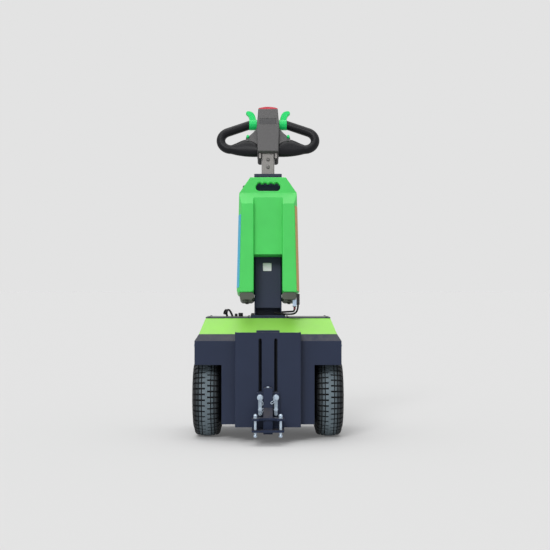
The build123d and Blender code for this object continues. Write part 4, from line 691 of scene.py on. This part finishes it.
# The tread's pale blocks are a painted sheen and their darkening towards the shoulders a painted shade.
TREAD_FACE = sheen_and_shade_tread(dark=(24, 27, 30), middle=tyre_middle, narrow=0.014, wide=0.04)
print("tread finish", TREAD_FACE.name)

# %% Both tyres
tread_mesh = baked(RING, pitch_mesh, {"Pitches": PITCHES, "Material": TREAD_FACE})


def piece(name, made, slot, body, smooth=None, coat=None):
    """A finished piece at the origin: its mesh, the slot's finish unless a coat is given, and the body it
    rides on.
    """
    mesh = bpy.data.meshes.new(name)
    made.to_mesh(mesh)
    made.free()
    mesh.materials.append(coat or FINISHES[slot])
    if smooth is not None:
        mesh.shade_smooth()
        mesh.set_sharp_from_angle(angle=math.radians(smooth))
    thing = placed(name, mesh)
    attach(thing, body)
    print(name, len(mesh.polygons), "faces on", body)
    return thing


for side in ("left", "right"):
    low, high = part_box(f"{side}_tyre")
    whole = carcass.copy()
    sidewalls = len(whole.faces)
    whole.from_mesh(tread_mesh)
    whole.faces.ensure_lookup_table()
    for face in whole.faces[sidewalls:]:
        face.material_index = 1
    bmesh.ops.translate(whole, verts=whole.verts, vec=(low + high) / 2)
    tyre = piece(f"{side}_tyre_tread", whole, "tyre_rubber", f"{side}_wheel", smooth=32)
    tyre.data.materials.append(TREAD_FACE)
    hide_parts(f"{side}_tyre")

# %% [markdown]
# ## Fasteners
#
# Sheet metal is held by a few kinds of screw, seen many times over. Each kind of head is modelled once, a
# button head with a hexagon socket and a hexagon head with a chamfered crown. A Geometry Nodes group
# puts a head on each point of a small mesh, turns it to face along the point's own direction, and gives
# it a random turn about that direction from a fixed seed, as screws end up on a real machine.

# %% Screw heads
RING_POINTS = 12


def ring_of(made, radius, height, flats):
    """Points round the Z axis, on a circle or on a hexagon measured over its corners."""
    points = []
    for i in range(RING_POINTS):
        a = 2 * math.pi * i / RING_POINTS
        reach = radius * (math.cos(math.pi / 6) if flats and i % 2 else 1.0)
        points.append(made.verts.new((reach * math.cos(a), reach * math.sin(a), height)))
    return points


def head(name, rings):
    """A head from (radius, height, hexagonal) rings, from its seat to the middle of its top."""
    made = bmesh.new()
    rows = [ring_of(made, *ring) for ring in rings]
    bridge(made, rows)
    made.faces.new(rows[0])
    made.faces.new(rows[-1])
    mesh = bpy.data.meshes.new(name)
    outward(made).to_mesh(mesh)
    made.free()
    return placed(name, mesh)


def button_head(radius, height):
    """A domed head with a hexagon socket sunk in it."""
    socket = 0.5 * radius
    rings = [(radius, 0, False), (radius, 0.35 * height, False), (0.82 * radius, 0.8 * height, False),
             (0.62 * radius, height, False), (socket, height, True), (0.9 * socket, 0.3 * height, True)]
    return head("button_head", rings)


def hexagon_head(radius, height):
    """A hexagon head on a washer face, its top chamfered to a circle."""
    rings = [(1.25 * radius, 0, False), (1.25 * radius, 0.2 * height, False), (radius, 0.2 * height, True),
             (radius, 0.85 * height, True), (0.84 * radius, height, False)]
    return head("hexagon_head", rings)


# %% Geometry Nodes: heads on points
# A Random Value node has its largest number and its result on these of its sockets.
RANDOM_MAX, RANDOM_OUT = 3, 1


def make_fastener_group():
    """Puts a head on each point, facing along the point's own direction, turned at random about it."""
    tree, given, result = new_geometry_group("heads_on_points", [("Head", "Object"), ("Seed", "Int")])
    shape = add_node(tree, "GeometryNodeObjectInfo")
    facing = add_node(tree, "GeometryNodeInputNamedAttribute", data_type="FLOAT_VECTOR", Name="facing")
    turned_to = add_node(tree, "FunctionNodeAlignRotationToVector", axis="Z")
    copies = add_node(tree, "GeometryNodeInstanceOnPoints")
    chance = add_node(tree, "FunctionNodeRandomValue", data_type="FLOAT")
    chance.inputs[RANDOM_MAX].default_value = 2 * math.pi
    twist = add_node(tree, "ShaderNodeCombineXYZ")
    turned_by = add_node(tree, "GeometryNodeRotateInstances")
    real = add_node(tree, "GeometryNodeRealizeInstances")
    coat = add_node(tree, "GeometryNodeSetMaterial")
    join(
        tree,
        (given, "Head", shape, "Object"),
        (given, "Geometry", copies, "Points"),
        (shape, "Geometry", copies, "Instance"),
        (facing, "Attribute", turned_to, "Vector"),
        (turned_to, "Rotation", copies, "Rotation"),
        (given, "Seed", chance, "Seed"),
        (chance, RANDOM_OUT, twist, "Z"),
        (copies, "Instances", turned_by, "Instances"),
        (twist, "Vector", turned_by, "Rotation"),
        (turned_by, "Instances", real, "Geometry"),
        (real, "Geometry", coat, "Geometry"),
        (given, "Material", coat, "Material"),
        (coat, "Geometry", result, "Geometry"),
    )
    return tree


HEADS_ON_POINTS = make_fastener_group()
print("group", HEADS_ON_POINTS.name, "of", len(HEADS_ON_POINTS.nodes), "nodes")


def fasteners(name, shape, slot, body, spots, seed):
    """One piece of equal heads at the spots, each a (place, direction) pair."""
    points = bpy.data.meshes.new(name + "_points")
    points.from_pydata([place for place, _ in spots], [], [])
    facing = points.attributes.new("facing", "FLOAT_VECTOR", "POINT")
    for item, (_, direction) in zip(facing.data, spots):
        item.vector = direction
    settings = {"Head": shape, "Seed": seed, "Material": FINISHES[slot]}
    mesh = baked(HEADS_ON_POINTS, points, settings)
    made = bmesh.new()
    made.from_mesh(mesh)
    bpy.data.objects.remove(shape)
    return piece(name, made, slot, body, smooth=35)


# %% Screws on the body
UP, DOWN, REAR = Vector((0, 0, 1)), Vector((0, 0, -1)), Vector((0, 1, 0))
DECK_COLUMNS, DECK_ROWS = (-0.225, -0.075, 0.075, 0.225), (-0.05, 0.1)
PANEL_UPPER, PANEL_LOWER = 0.357, 0.145
FLANK_PLACES, BACK_COLUMNS = (-0.135, 0.075, 0.285), (-0.252, 0.252)

deck_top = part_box("top_plate")[1].z
deck_spots = [(Vector((x, y, deck_top)), UP) for x in DECK_COLUMNS for y in DECK_ROWS]
fasteners("deck_screws", button_head(0.0045, 0.0026), "cast_metal", "chassis", deck_spots, 1)

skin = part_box("right_side_panel")[1].x
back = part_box("rear_panel")[1].y
panel_spots = [(Vector((side * skin, y, PANEL_UPPER)), Vector((side, 0, 0)))
               for side in (-1, 1) for y in FLANK_PLACES]
panel_spots += [(Vector((x, back, z)), REAR) for x in BACK_COLUMNS for z in (PANEL_LOWER, PANEL_UPPER)]
fasteners("panel_screws", button_head(0.005, 0.003), "zinc", "chassis", panel_spots, 2)

# %% Screws on the mast and head
FLANGE, FLANGE_COLUMNS, FLANGE_ROWS = 0.008, (-0.0595, 0.0595), (-0.053, 0.0235)
TUBE_RISES, TUBE_STAND = (628, 598), -11
HEAD_COLUMNS, HEAD_RISES, HEAD_BACK = (-27, 27), (24, 150), -28
CRADLE_COLUMNS, CRADLE_STANDS, CRADLE_RISE = (-81, 81), (66, -20), 62

flange_spots = [(Vector((x, y, deck_top + FLANGE)), UP) for x in FLANGE_COLUMNS for y in FLANGE_ROWS]
fasteners("mast_bolts", hexagon_head(0.0062, 0.0055), "cast_metal", "chassis", flange_spots, 3)

tube_spots = [(on_mast(0, rise, TUBE_STAND), MAST_OUT) for rise in TUBE_RISES]
fasteners("tube_bolts", button_head(0.0072, 0.0036), "cast_metal", "chassis", tube_spots, 4)

head_spots = [(on_head(x, rise, HEAD_BACK), -HEAD_OUT) for x in HEAD_COLUMNS for rise in HEAD_RISES]
fasteners("head_screws", button_head(0.0035, 0.0022), "zinc", "chassis", head_spots, 5)

cradle_spots = [(on_mast(x, CRADLE_RISE, stand), -MAST_UP)
                for x in CRADLE_COLUMNS for stand in CRADLE_STANDS]
fasteners("cradle_bolts", hexagon_head(0.0065, 0.005), "cast_metal", "chassis", cradle_spots, 6)

# %% Screws on the castor and coupling
CASTOR_COLUMNS, CASTOR_ROWS, CASTOR_PLATE = (-0.041, 0.041), (-0.033, 0.033), 0.005
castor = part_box("castor_plate")
castor_middle = (castor[0] + castor[1]) / 2
castor_spots = [(Vector((x, castor_middle.y + y, castor[1].z - CASTOR_PLATE)), DOWN)
                for x in CASTOR_COLUMNS for y in CASTOR_ROWS]
fasteners("castor_screws", button_head(0.0055, 0.0024), "zinc", "chassis", castor_spots, 7)

POST_MIDDLE = 0.011
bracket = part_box("coupling_bracket")
post_spots = [(Vector((0, bracket[0].y + POST_MIDDLE, bracket[1].z)), UP)]
fasteners("post_screw", button_head(0.006, 0.0036), "zinc", "coupling", post_spots, 8)

# %% [markdown]
# ## Spring clips and plug sleeve
#
# Wire clips keep the coupling's bolts from working loose. Each is a few points on a smooth curve with a
# round bevel, turned into a mesh: a foot in the bolt, a straight leg and a wavy one that runs back. Points
# on a curve are bent by hand more easily than a mesh is. The same tube makes the short red sleeve that
# keeps the plug's lead from bending at the plug.

# %% Clips
def wire(points, thickness):
    """A mesh tube along a smooth curve that the points steer."""
    carrier = round_tube("wire", points, thickness, sides=2, steps=6)
    made = bmesh.new()
    made.from_mesh(evaluated(carrier))
    bpy.data.objects.remove(carrier)
    return outward(made)


CLIP_WIRE = 0.0024
CLIP = (
    (0, 0), (12, 0), (20, 0.5), (26, 5), (25, 10), (19, 11), (15, 6), (11, 3.4), (7, 5.4), (3, 4), (-1, 6),
)
FORWARD = Vector((0, -1, 0))


def spring_clip(name, foot, lift, across):
    """A clip in a plane in front of its foot: a straight leg along a direction and a wavy one beside it."""
    wave = across.cross(FORWARD)
    plane = foot + FORWARD * lift
    points = [foot] + [plane + (across * x + wave * y) / 1000 for x, y in CLIP]
    return piece(name, wire(points, CLIP_WIRE), "zinc", "coupling", smooth=40)


def slanted(degrees):
    """A direction in the front plane, as an angle up from the right."""
    return Vector((math.cos(math.radians(degrees)), 0, math.sin(math.radians(degrees))))


bolt_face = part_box("coupling_bolts")[0].y
link_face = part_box("coupling_links")[0].y
BOLT_X, UPPER_BOLT_Z, LINK_END_Z = 0.028, 0.169, 0.109
past_post = bolt_face - bracket[0].y + CLIP_WIRE
past_nut = link_face - bolt_face + CLIP_WIRE
spring_clip("left_bolt_clip", Vector((-BOLT_X, bolt_face, UPPER_BOLT_Z)), past_post, slanted(-58))
spring_clip("right_bolt_clip", Vector((BOLT_X, bolt_face, UPPER_BOLT_Z)), past_post, slanted(-112))
spring_clip("left_link_clip", Vector((-BOLT_X, link_face, LINK_END_Z)), past_nut, slanted(73))

# %% Sleeve at the plug
SLEEVE_LENGTH, SLEEVE_DIAMETER = 0.011, 0.0086
sleeve_top = plug_points[-1]
sleeve_way = (plug_points[-2] - sleeve_top).normalized() * SLEEVE_LENGTH
sleeve = wire([sleeve_top, sleeve_top + sleeve_way / 2, sleeve_top + sleeve_way], SLEEVE_DIAMETER)
sleeve_coat = finish("red_sleeve", (104, 24, 40), (140, 70, 80), 0.5, grain=800, wear=0.1, dust_and_sheen=0.05)
piece("plug_sleeve", sleeve, "red_plastic", "chassis", smooth=40, coat=sleeve_coat)

# %% [markdown]
# ## Plates, strips and films
#
# The head carries a small lacquered plate, the mast a plain white sticker and the battery's front corners
# coloured films. Black strips on the mast's sides take up the play between it and the battery's legs. A
# plate or strip is a rounded rectangle with a little thickness, drawn in the plane of what carries it. An
# image would need unwrapped surfaces, and a thin solid catches the light on its edge too. A film lies half
# a millimetre proud of the battery and bends round its chamfer, so its section is a bent line that is
# worked out from the battery's own sizes at its lower and upper end.

# %% Plates
CORNER_STEPS = 4


def rounded_plate(place, middle, half, corner, seat, thickness):
    """A plate with rounded corners; place turns millimetres across, up and out into a point."""
    outline = []
    for sx, sy, start in ((1, 1, 0), (-1, 1, 90), (-1, -1, 180), (1, -1, 270)):
        for step in range(CORNER_STEPS + 1):
            a = math.radians(start + step * 90 / CORNER_STEPS)
            x = middle[0] + sx * (half[0] - corner) + corner * math.cos(a)
            y = middle[1] + sy * (half[1] - corner) + corner * math.sin(a)
            outline.append((x, y))
    made = bmesh.new()
    low = [made.verts.new(place(x, y, seat)) for x, y in outline]
    high = [made.verts.new(place(x, y, seat + thickness)) for x, y in outline]
    made.faces.new(low)
    made.faces.new(high)
    bridge(made, (low, high))
    return outward(made)


plate_coat = finish("plate_lacquer", (66, 66, 68), (120, 120, 122), 0.3, grain=600, depth=0.05, dust_and_sheen=0.05)
white_film = finish("white_film", (240, 236, 242), (214, 214, 214), 0.4, grain=600, depth=0.05, dust_and_sheen=0.05)
head_plate = rounded_plate(on_head, middle=(0, 130), half=(32, 13), corner=2, seat=36, thickness=0.7)
piece("head_plate", head_plate, "grey_plastic", "chassis", smooth=30, coat=plate_coat)
sticker = rounded_plate(on_mast, middle=(-3, 199), half=(16.5, 15.5), corner=2, seat=0, thickness=0.5)
piece("mast_sticker", sticker, "pale_plastic", "chassis", smooth=30, coat=white_film)

# %% Strips and ears
MAST_HALF = 52.5
HANDS = ((-1, "left"), (1, "right"))


def beside_mast(side):
    """A function from millimetres along, up and out of one of the mast's sides to a place in the frame."""
    return lambda along, rise, out: on_mast(side * (MAST_HALF + out), rise, along)


for side, hand in HANDS:
    strip = rounded_plate(beside_mast(side), middle=(-26, 262), half=(18, 168), corner=3, seat=0,
                          thickness=1.8)
    piece(f"{hand}_guide_strip", strip, "black_plastic", "chassis", smooth=30)

for side, hand in HANDS:
    ear = rounded_plate(on_head, middle=(side * 31.5, -21), half=(4.6, 11.5), corner=2, seat=22,
                        thickness=2.2)
    piece(f"{hand}_clamp_ear", ear, "grey_metal", "chassis", smooth=30)

# %% Films on the battery's front corners
PACK_BOTTOM, PACK_SHOULDER = 90.0, 481.0
PACK_HALF_BOTTOM, PACK_HALF_SHOULDER = 119.0, 111.0
FLANK_FRONT, CHAMFER_ACROSS, CHAMFER_DEEP = 60.0, 11.0, 30.0
CHAMFER = math.hypot(CHAMFER_ACROSS, CHAMFER_DEEP)
FILM = 0.5
STRIPE_REAR, STRIPE_FRONT = 26.0, 28.0


def corner_point(side, run, rise, proud):
    """A place on a front corner; run is measured from the chamfer's rear edge, forwards or backwards."""
    share = (rise - PACK_BOTTOM) / (PACK_SHOULDER - PACK_BOTTOM)
    half = PACK_HALF_BOTTOM + (PACK_HALF_SHOULDER - PACK_HALF_BOTTOM) * share
    forward = max(run, 0.0) / CHAMFER
    normal = (CHAMFER_DEEP / CHAMFER, CHAMFER_ACROSS / CHAMFER) if run > 0 else (1.0, 0.0)
    across = half - forward * CHAMFER_ACROSS + proud * normal[0]
    stand = FLANK_FRONT + min(run, 0.0) + forward * CHAMFER_DEEP + proud * normal[1]
    return on_mast(side * across, rise, stand)


def corner_stripe(side, low, high):
    """A film over the chamfer and a little of the flank, as a closed thin shell."""
    made = bmesh.new()
    runs = (-STRIPE_REAR, 0.0, STRIPE_FRONT)
    rows = []
    for rise in (low, high):
        line = [corner_point(side, run, rise, FILM) for run in runs]
        line += [corner_point(side, run, rise, -FILM) for run in runs[::-1]]
        rows.append([made.verts.new(point) for point in line])
    bridge(made, rows)
    for row in rows:
        made.faces.new(row)
    return outward(made)


blue_film = finish("blue_film", (22, 170, 210), (104, 204, 228), 0.35, grain=600, depth=0.05, dust_and_sheen=0.03)
amber_film = finish("amber_film", (190, 140, 58), (218, 180, 118), 0.35, grain=600, depth=0.05, dust_and_sheen=0.03)
blue_stripe = corner_stripe(-1, low=109, high=391)
piece("left_corner_film", blue_stripe, "pale_plastic", "chassis", smooth=12, coat=blue_film)
amber_stripe = corner_stripe(1, low=95, high=424)
piece("right_corner_film", amber_stripe, "pale_plastic", "chassis", smooth=12, coat=amber_film)

# %% [markdown]
# ## Dust cap
#
# The charging socket's rubber cap hangs on its strap beside the socket. The cap is a cup turned from a
# short section, tilted to one side, and the strap is a thick band that arches from the deck, past the
# cap, and back down to the deck. A turned section suits what is round, and a few points suit a loose bend.

# %% Cap and strap
def turned_cup(section, steps):
    """A closed mesh from a (radius, height) section in millimetres, turned about the Z axis."""
    made = bmesh.new()
    rows = []
    for radius, height in ((r / 1000, h / 1000) for r, h in section):
        if radius == 0:
            rows.append([made.verts.new((0, 0, height))] * steps)
        else:
            angles = [2 * math.pi * i / steps for i in range(steps)]
            circle = [(radius * math.cos(a), radius * math.sin(a), height) for a in angles]
            rows.append([made.verts.new(point) for point in circle])
    bridge(made, rows)
    return outward(made)


def band(points, half_width, thickness, wide):
    """A flat band along a line of points, its width along the wide direction and its thickness across."""
    made = bmesh.new()
    rows = []
    for i, point in enumerate(points):
        along = points[min(i + 1, len(points) - 1)] - points[max(i - 1, 0)]
        thick = along.cross(wide).normalized() * thickness / 2
        sides = ((1, 1), (-1, 1), (-1, -1), (1, -1))
        rows.append([made.verts.new(point + wide * half_width * a + thick * b) for a, b in sides])
    bridge(made, rows)
    made.faces.new(rows[0])
    made.faces.new(rows[-1])
    return outward(made)


CUP = (
    (0, -4), (8.5, -4), (10, -2.5), (10, 2), (11.5, 2.4), (11.5, 5), (8.2, 5), (8, -1.5), (0, -1.5),
)
CUP_PLACE = Vector((-0.008, 0, 0.017))
CUP_TILT, CUP_LEAN = math.radians(-62), math.radians(25)
low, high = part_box("dust_cap")
cap_foot = Vector(((low.x + high.x) / 2, (low.y + high.y) / 2, low.z))
cup = turned_cup(CUP, 24)
tilt = Matrix.Rotation(CUP_TILT, 4, "Y") @ Matrix.Rotation(CUP_LEAN, 4, "X")
bmesh.ops.transform(cup, matrix=Matrix.Translation(cap_foot + CUP_PLACE) @ tilt, verts=cup.verts)

STRAP_LOOP = ((-3, 0), (-5, 8), (-6, 17), (-4, 23), (0, 26), (5, 25), (9, 20), (13, 12), (16, 5), (18, 0))
loop = [cap_foot + Vector((x, 0, z)) / 1000 for x, z in STRAP_LOOP]
strap = band(loop, half_width=0.004, thickness=0.0078, wide=REAR)
strap_mesh = bpy.data.meshes.new("strap")
strap.to_mesh(strap_mesh)
strap.free()
cup.from_mesh(strap_mesh)
cap_piece = piece("dust_cap_on_strap", cup, "black_plastic", "chassis", smooth=40)
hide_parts("dust_cap")

# %% [markdown]
# ## Valve stems
#
# Pneumatic tyres are pumped up through a rubber stem in the rim. Each stem is turned from one section, a
# bulged foot, a thin neck and a cap, and points out of the wheel's outer side. It is too small to need
# more than the cup's own turning function.

# %% Stems
STEM = ((0, 0), (7, 0), (6.2, 2), (4.2, 5), (3.9, 14), (4.4, 14.4), (4.4, 20), (3.4, 21.5), (0, 21.5))
STEM_OUT, STEM_RISE = 0.0145, 0.045
for side, name in HANDS:
    low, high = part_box(f"{name}_rim")
    stem = turned_cup(STEM, 16)
    seat = Vector(((low.x + high.x) / 2 + side * STEM_OUT, 0, (low.z + high.z) / 2 + STEM_RISE))
    aim = Matrix.Translation(seat) @ Matrix.Rotation(side * math.radians(90), 4, "Y")
    bmesh.ops.transform(stem, matrix=aim, verts=stem.verts)
    piece(f"{name}_valve_stem", stem, "black_plastic", f"{name}_wheel", smooth=40)

# %% [markdown]
# ## Floor and light
#
# The machine stands on a wide pale floor under a soft sky dome. The key sun comes from the front, a
# little to the left. A broad sun straight above, like an overhead softbox, gives the sloping faces their
# sheen. Suns light the whole floor alike, so it runs into the backdrop with no line. Camera, glossy and
# transmission rays see the plain backdrop in place of the dome, and a little of it in the floor, which
# keeps the shadow light.

# %% Stage
FLOOR_REACH = 60.0
FLOOR_LIFT = 0.13
PALE = (0.688, 0.688, 0.688, 1.0)
BACKDROP = (0.768, 0.768, 0.768, 1.0)


def background_rays(tree):
    """A value of 1 for the rays that see the background: camera, glossy and transmission rays."""
    path = add_node(tree, "ShaderNodeLightPath")
    seen = add_node(tree, "ShaderNodeMath", operation="ADD")
    mirrored = add_node(tree, "ShaderNodeMath", operation="ADD", use_clamp=True)
    join(
        tree,
        (path, "Is Camera Ray", seen, 0),
        (path, "Is Glossy Ray", seen, 1),
        (seen, "Value", mirrored, 0),
        (path, "Is Transmission Ray", mirrored, 1),
    )
    return mirrored.outputs["Value"]


floor_mesh = bpy.data.meshes.new("studio_floor")
corners = [(x * FLOOR_REACH, y * FLOOR_REACH, 0) for x, y in ((-1, -1), (1, -1), (1, 1), (-1, 1))]
floor_mesh.from_pydata(corners, [], [(0, 1, 2, 3)])
studio_floor = placed("studio_floor", floor_mesh)
paper = bpy.data.materials.new("pale_paper")
paper.use_nodes = True
tree = paper.node_tree
matt = tree.nodes["Principled BSDF"]
matt.inputs["Base Color"].default_value = PALE
matt.inputs["Roughness"].default_value = 1.0
matt.inputs["Specular IOR Level"].default_value = 0.0
glow = add_node(tree, "ShaderNodeEmission", Color=BACKDROP)
lift = add_node(tree, "ShaderNodeMath", operation="MULTIPLY")
lift.inputs[1].default_value = FLOOR_LIFT
choose = add_node(tree, "ShaderNodeMixShader")
tree.links.new(background_rays(tree), lift.inputs[0])
join(
    tree,
    (lift, "Value", choose, "Fac"),
    (matt, "BSDF", choose, 1),
    (glow, "Emission", choose, 2),
)
tree.links.new(choose.outputs["Shader"], tree.nodes["Material Output"].inputs["Surface"])
floor_mesh.materials.append(paper)
print("floor", 2 * FLOOR_REACH, "m across")


# %% Sun lamps
def sun(name, direction, strength, softness):
    """A sun lamp that shines along a direction, with a wide disc for soft shadows."""
    data = bpy.data.lights.new(name, "SUN")
    data.energy = strength
    data.angle = math.radians(softness)
    made = placed(name, data)
    made.rotation_euler = Vector(direction).to_track_quat("-Z", "Y").to_euler()
    print(name, strength, "W/m2")


sun("key_sun", (0.3, 0.9, -0.7), strength=1.25, softness=20)
sun("overhead_sun", (0.05, -0.1, -1.0), strength=1.2, softness=50)

# %% Sky dome
world = bpy.data.worlds.new("studio")
world.use_nodes = True
tree = world.node_tree
dome = tree.nodes["Background"]
direction = add_node(tree, "ShaderNodeTexCoord")
split = add_node(tree, "ShaderNodeSeparateXYZ")
rise = add_node(tree, "ShaderNodeMapRange", **{"From Min": -0.1, "To Min": 0.3, "To Max": 0.6})
plain = add_node(tree, "ShaderNodeBackground", Color=BACKDROP)
choose = add_node(tree, "ShaderNodeMixShader")
join(
    tree,
    (direction, "Generated", split, "Vector"),
    (split, "Z", rise, "Value"),
    (rise, "Result", dome, "Strength"),
)
tree.links.new(background_rays(tree), choose.inputs["Fac"])
join(
    tree,
    (dome, "Background", choose, 1),
    (plain, "Background", choose, 2),
)
tree.links.new(choose.outputs["Shader"], tree.nodes["World Output"].inputs["Surface"])
dome.inputs["Color"].default_value = (1.0, 1.0, 1.0, 1.0)
scene.world = world
scene.view_settings.view_transform = "Standard"
print("dome and backdrop on", world.name)
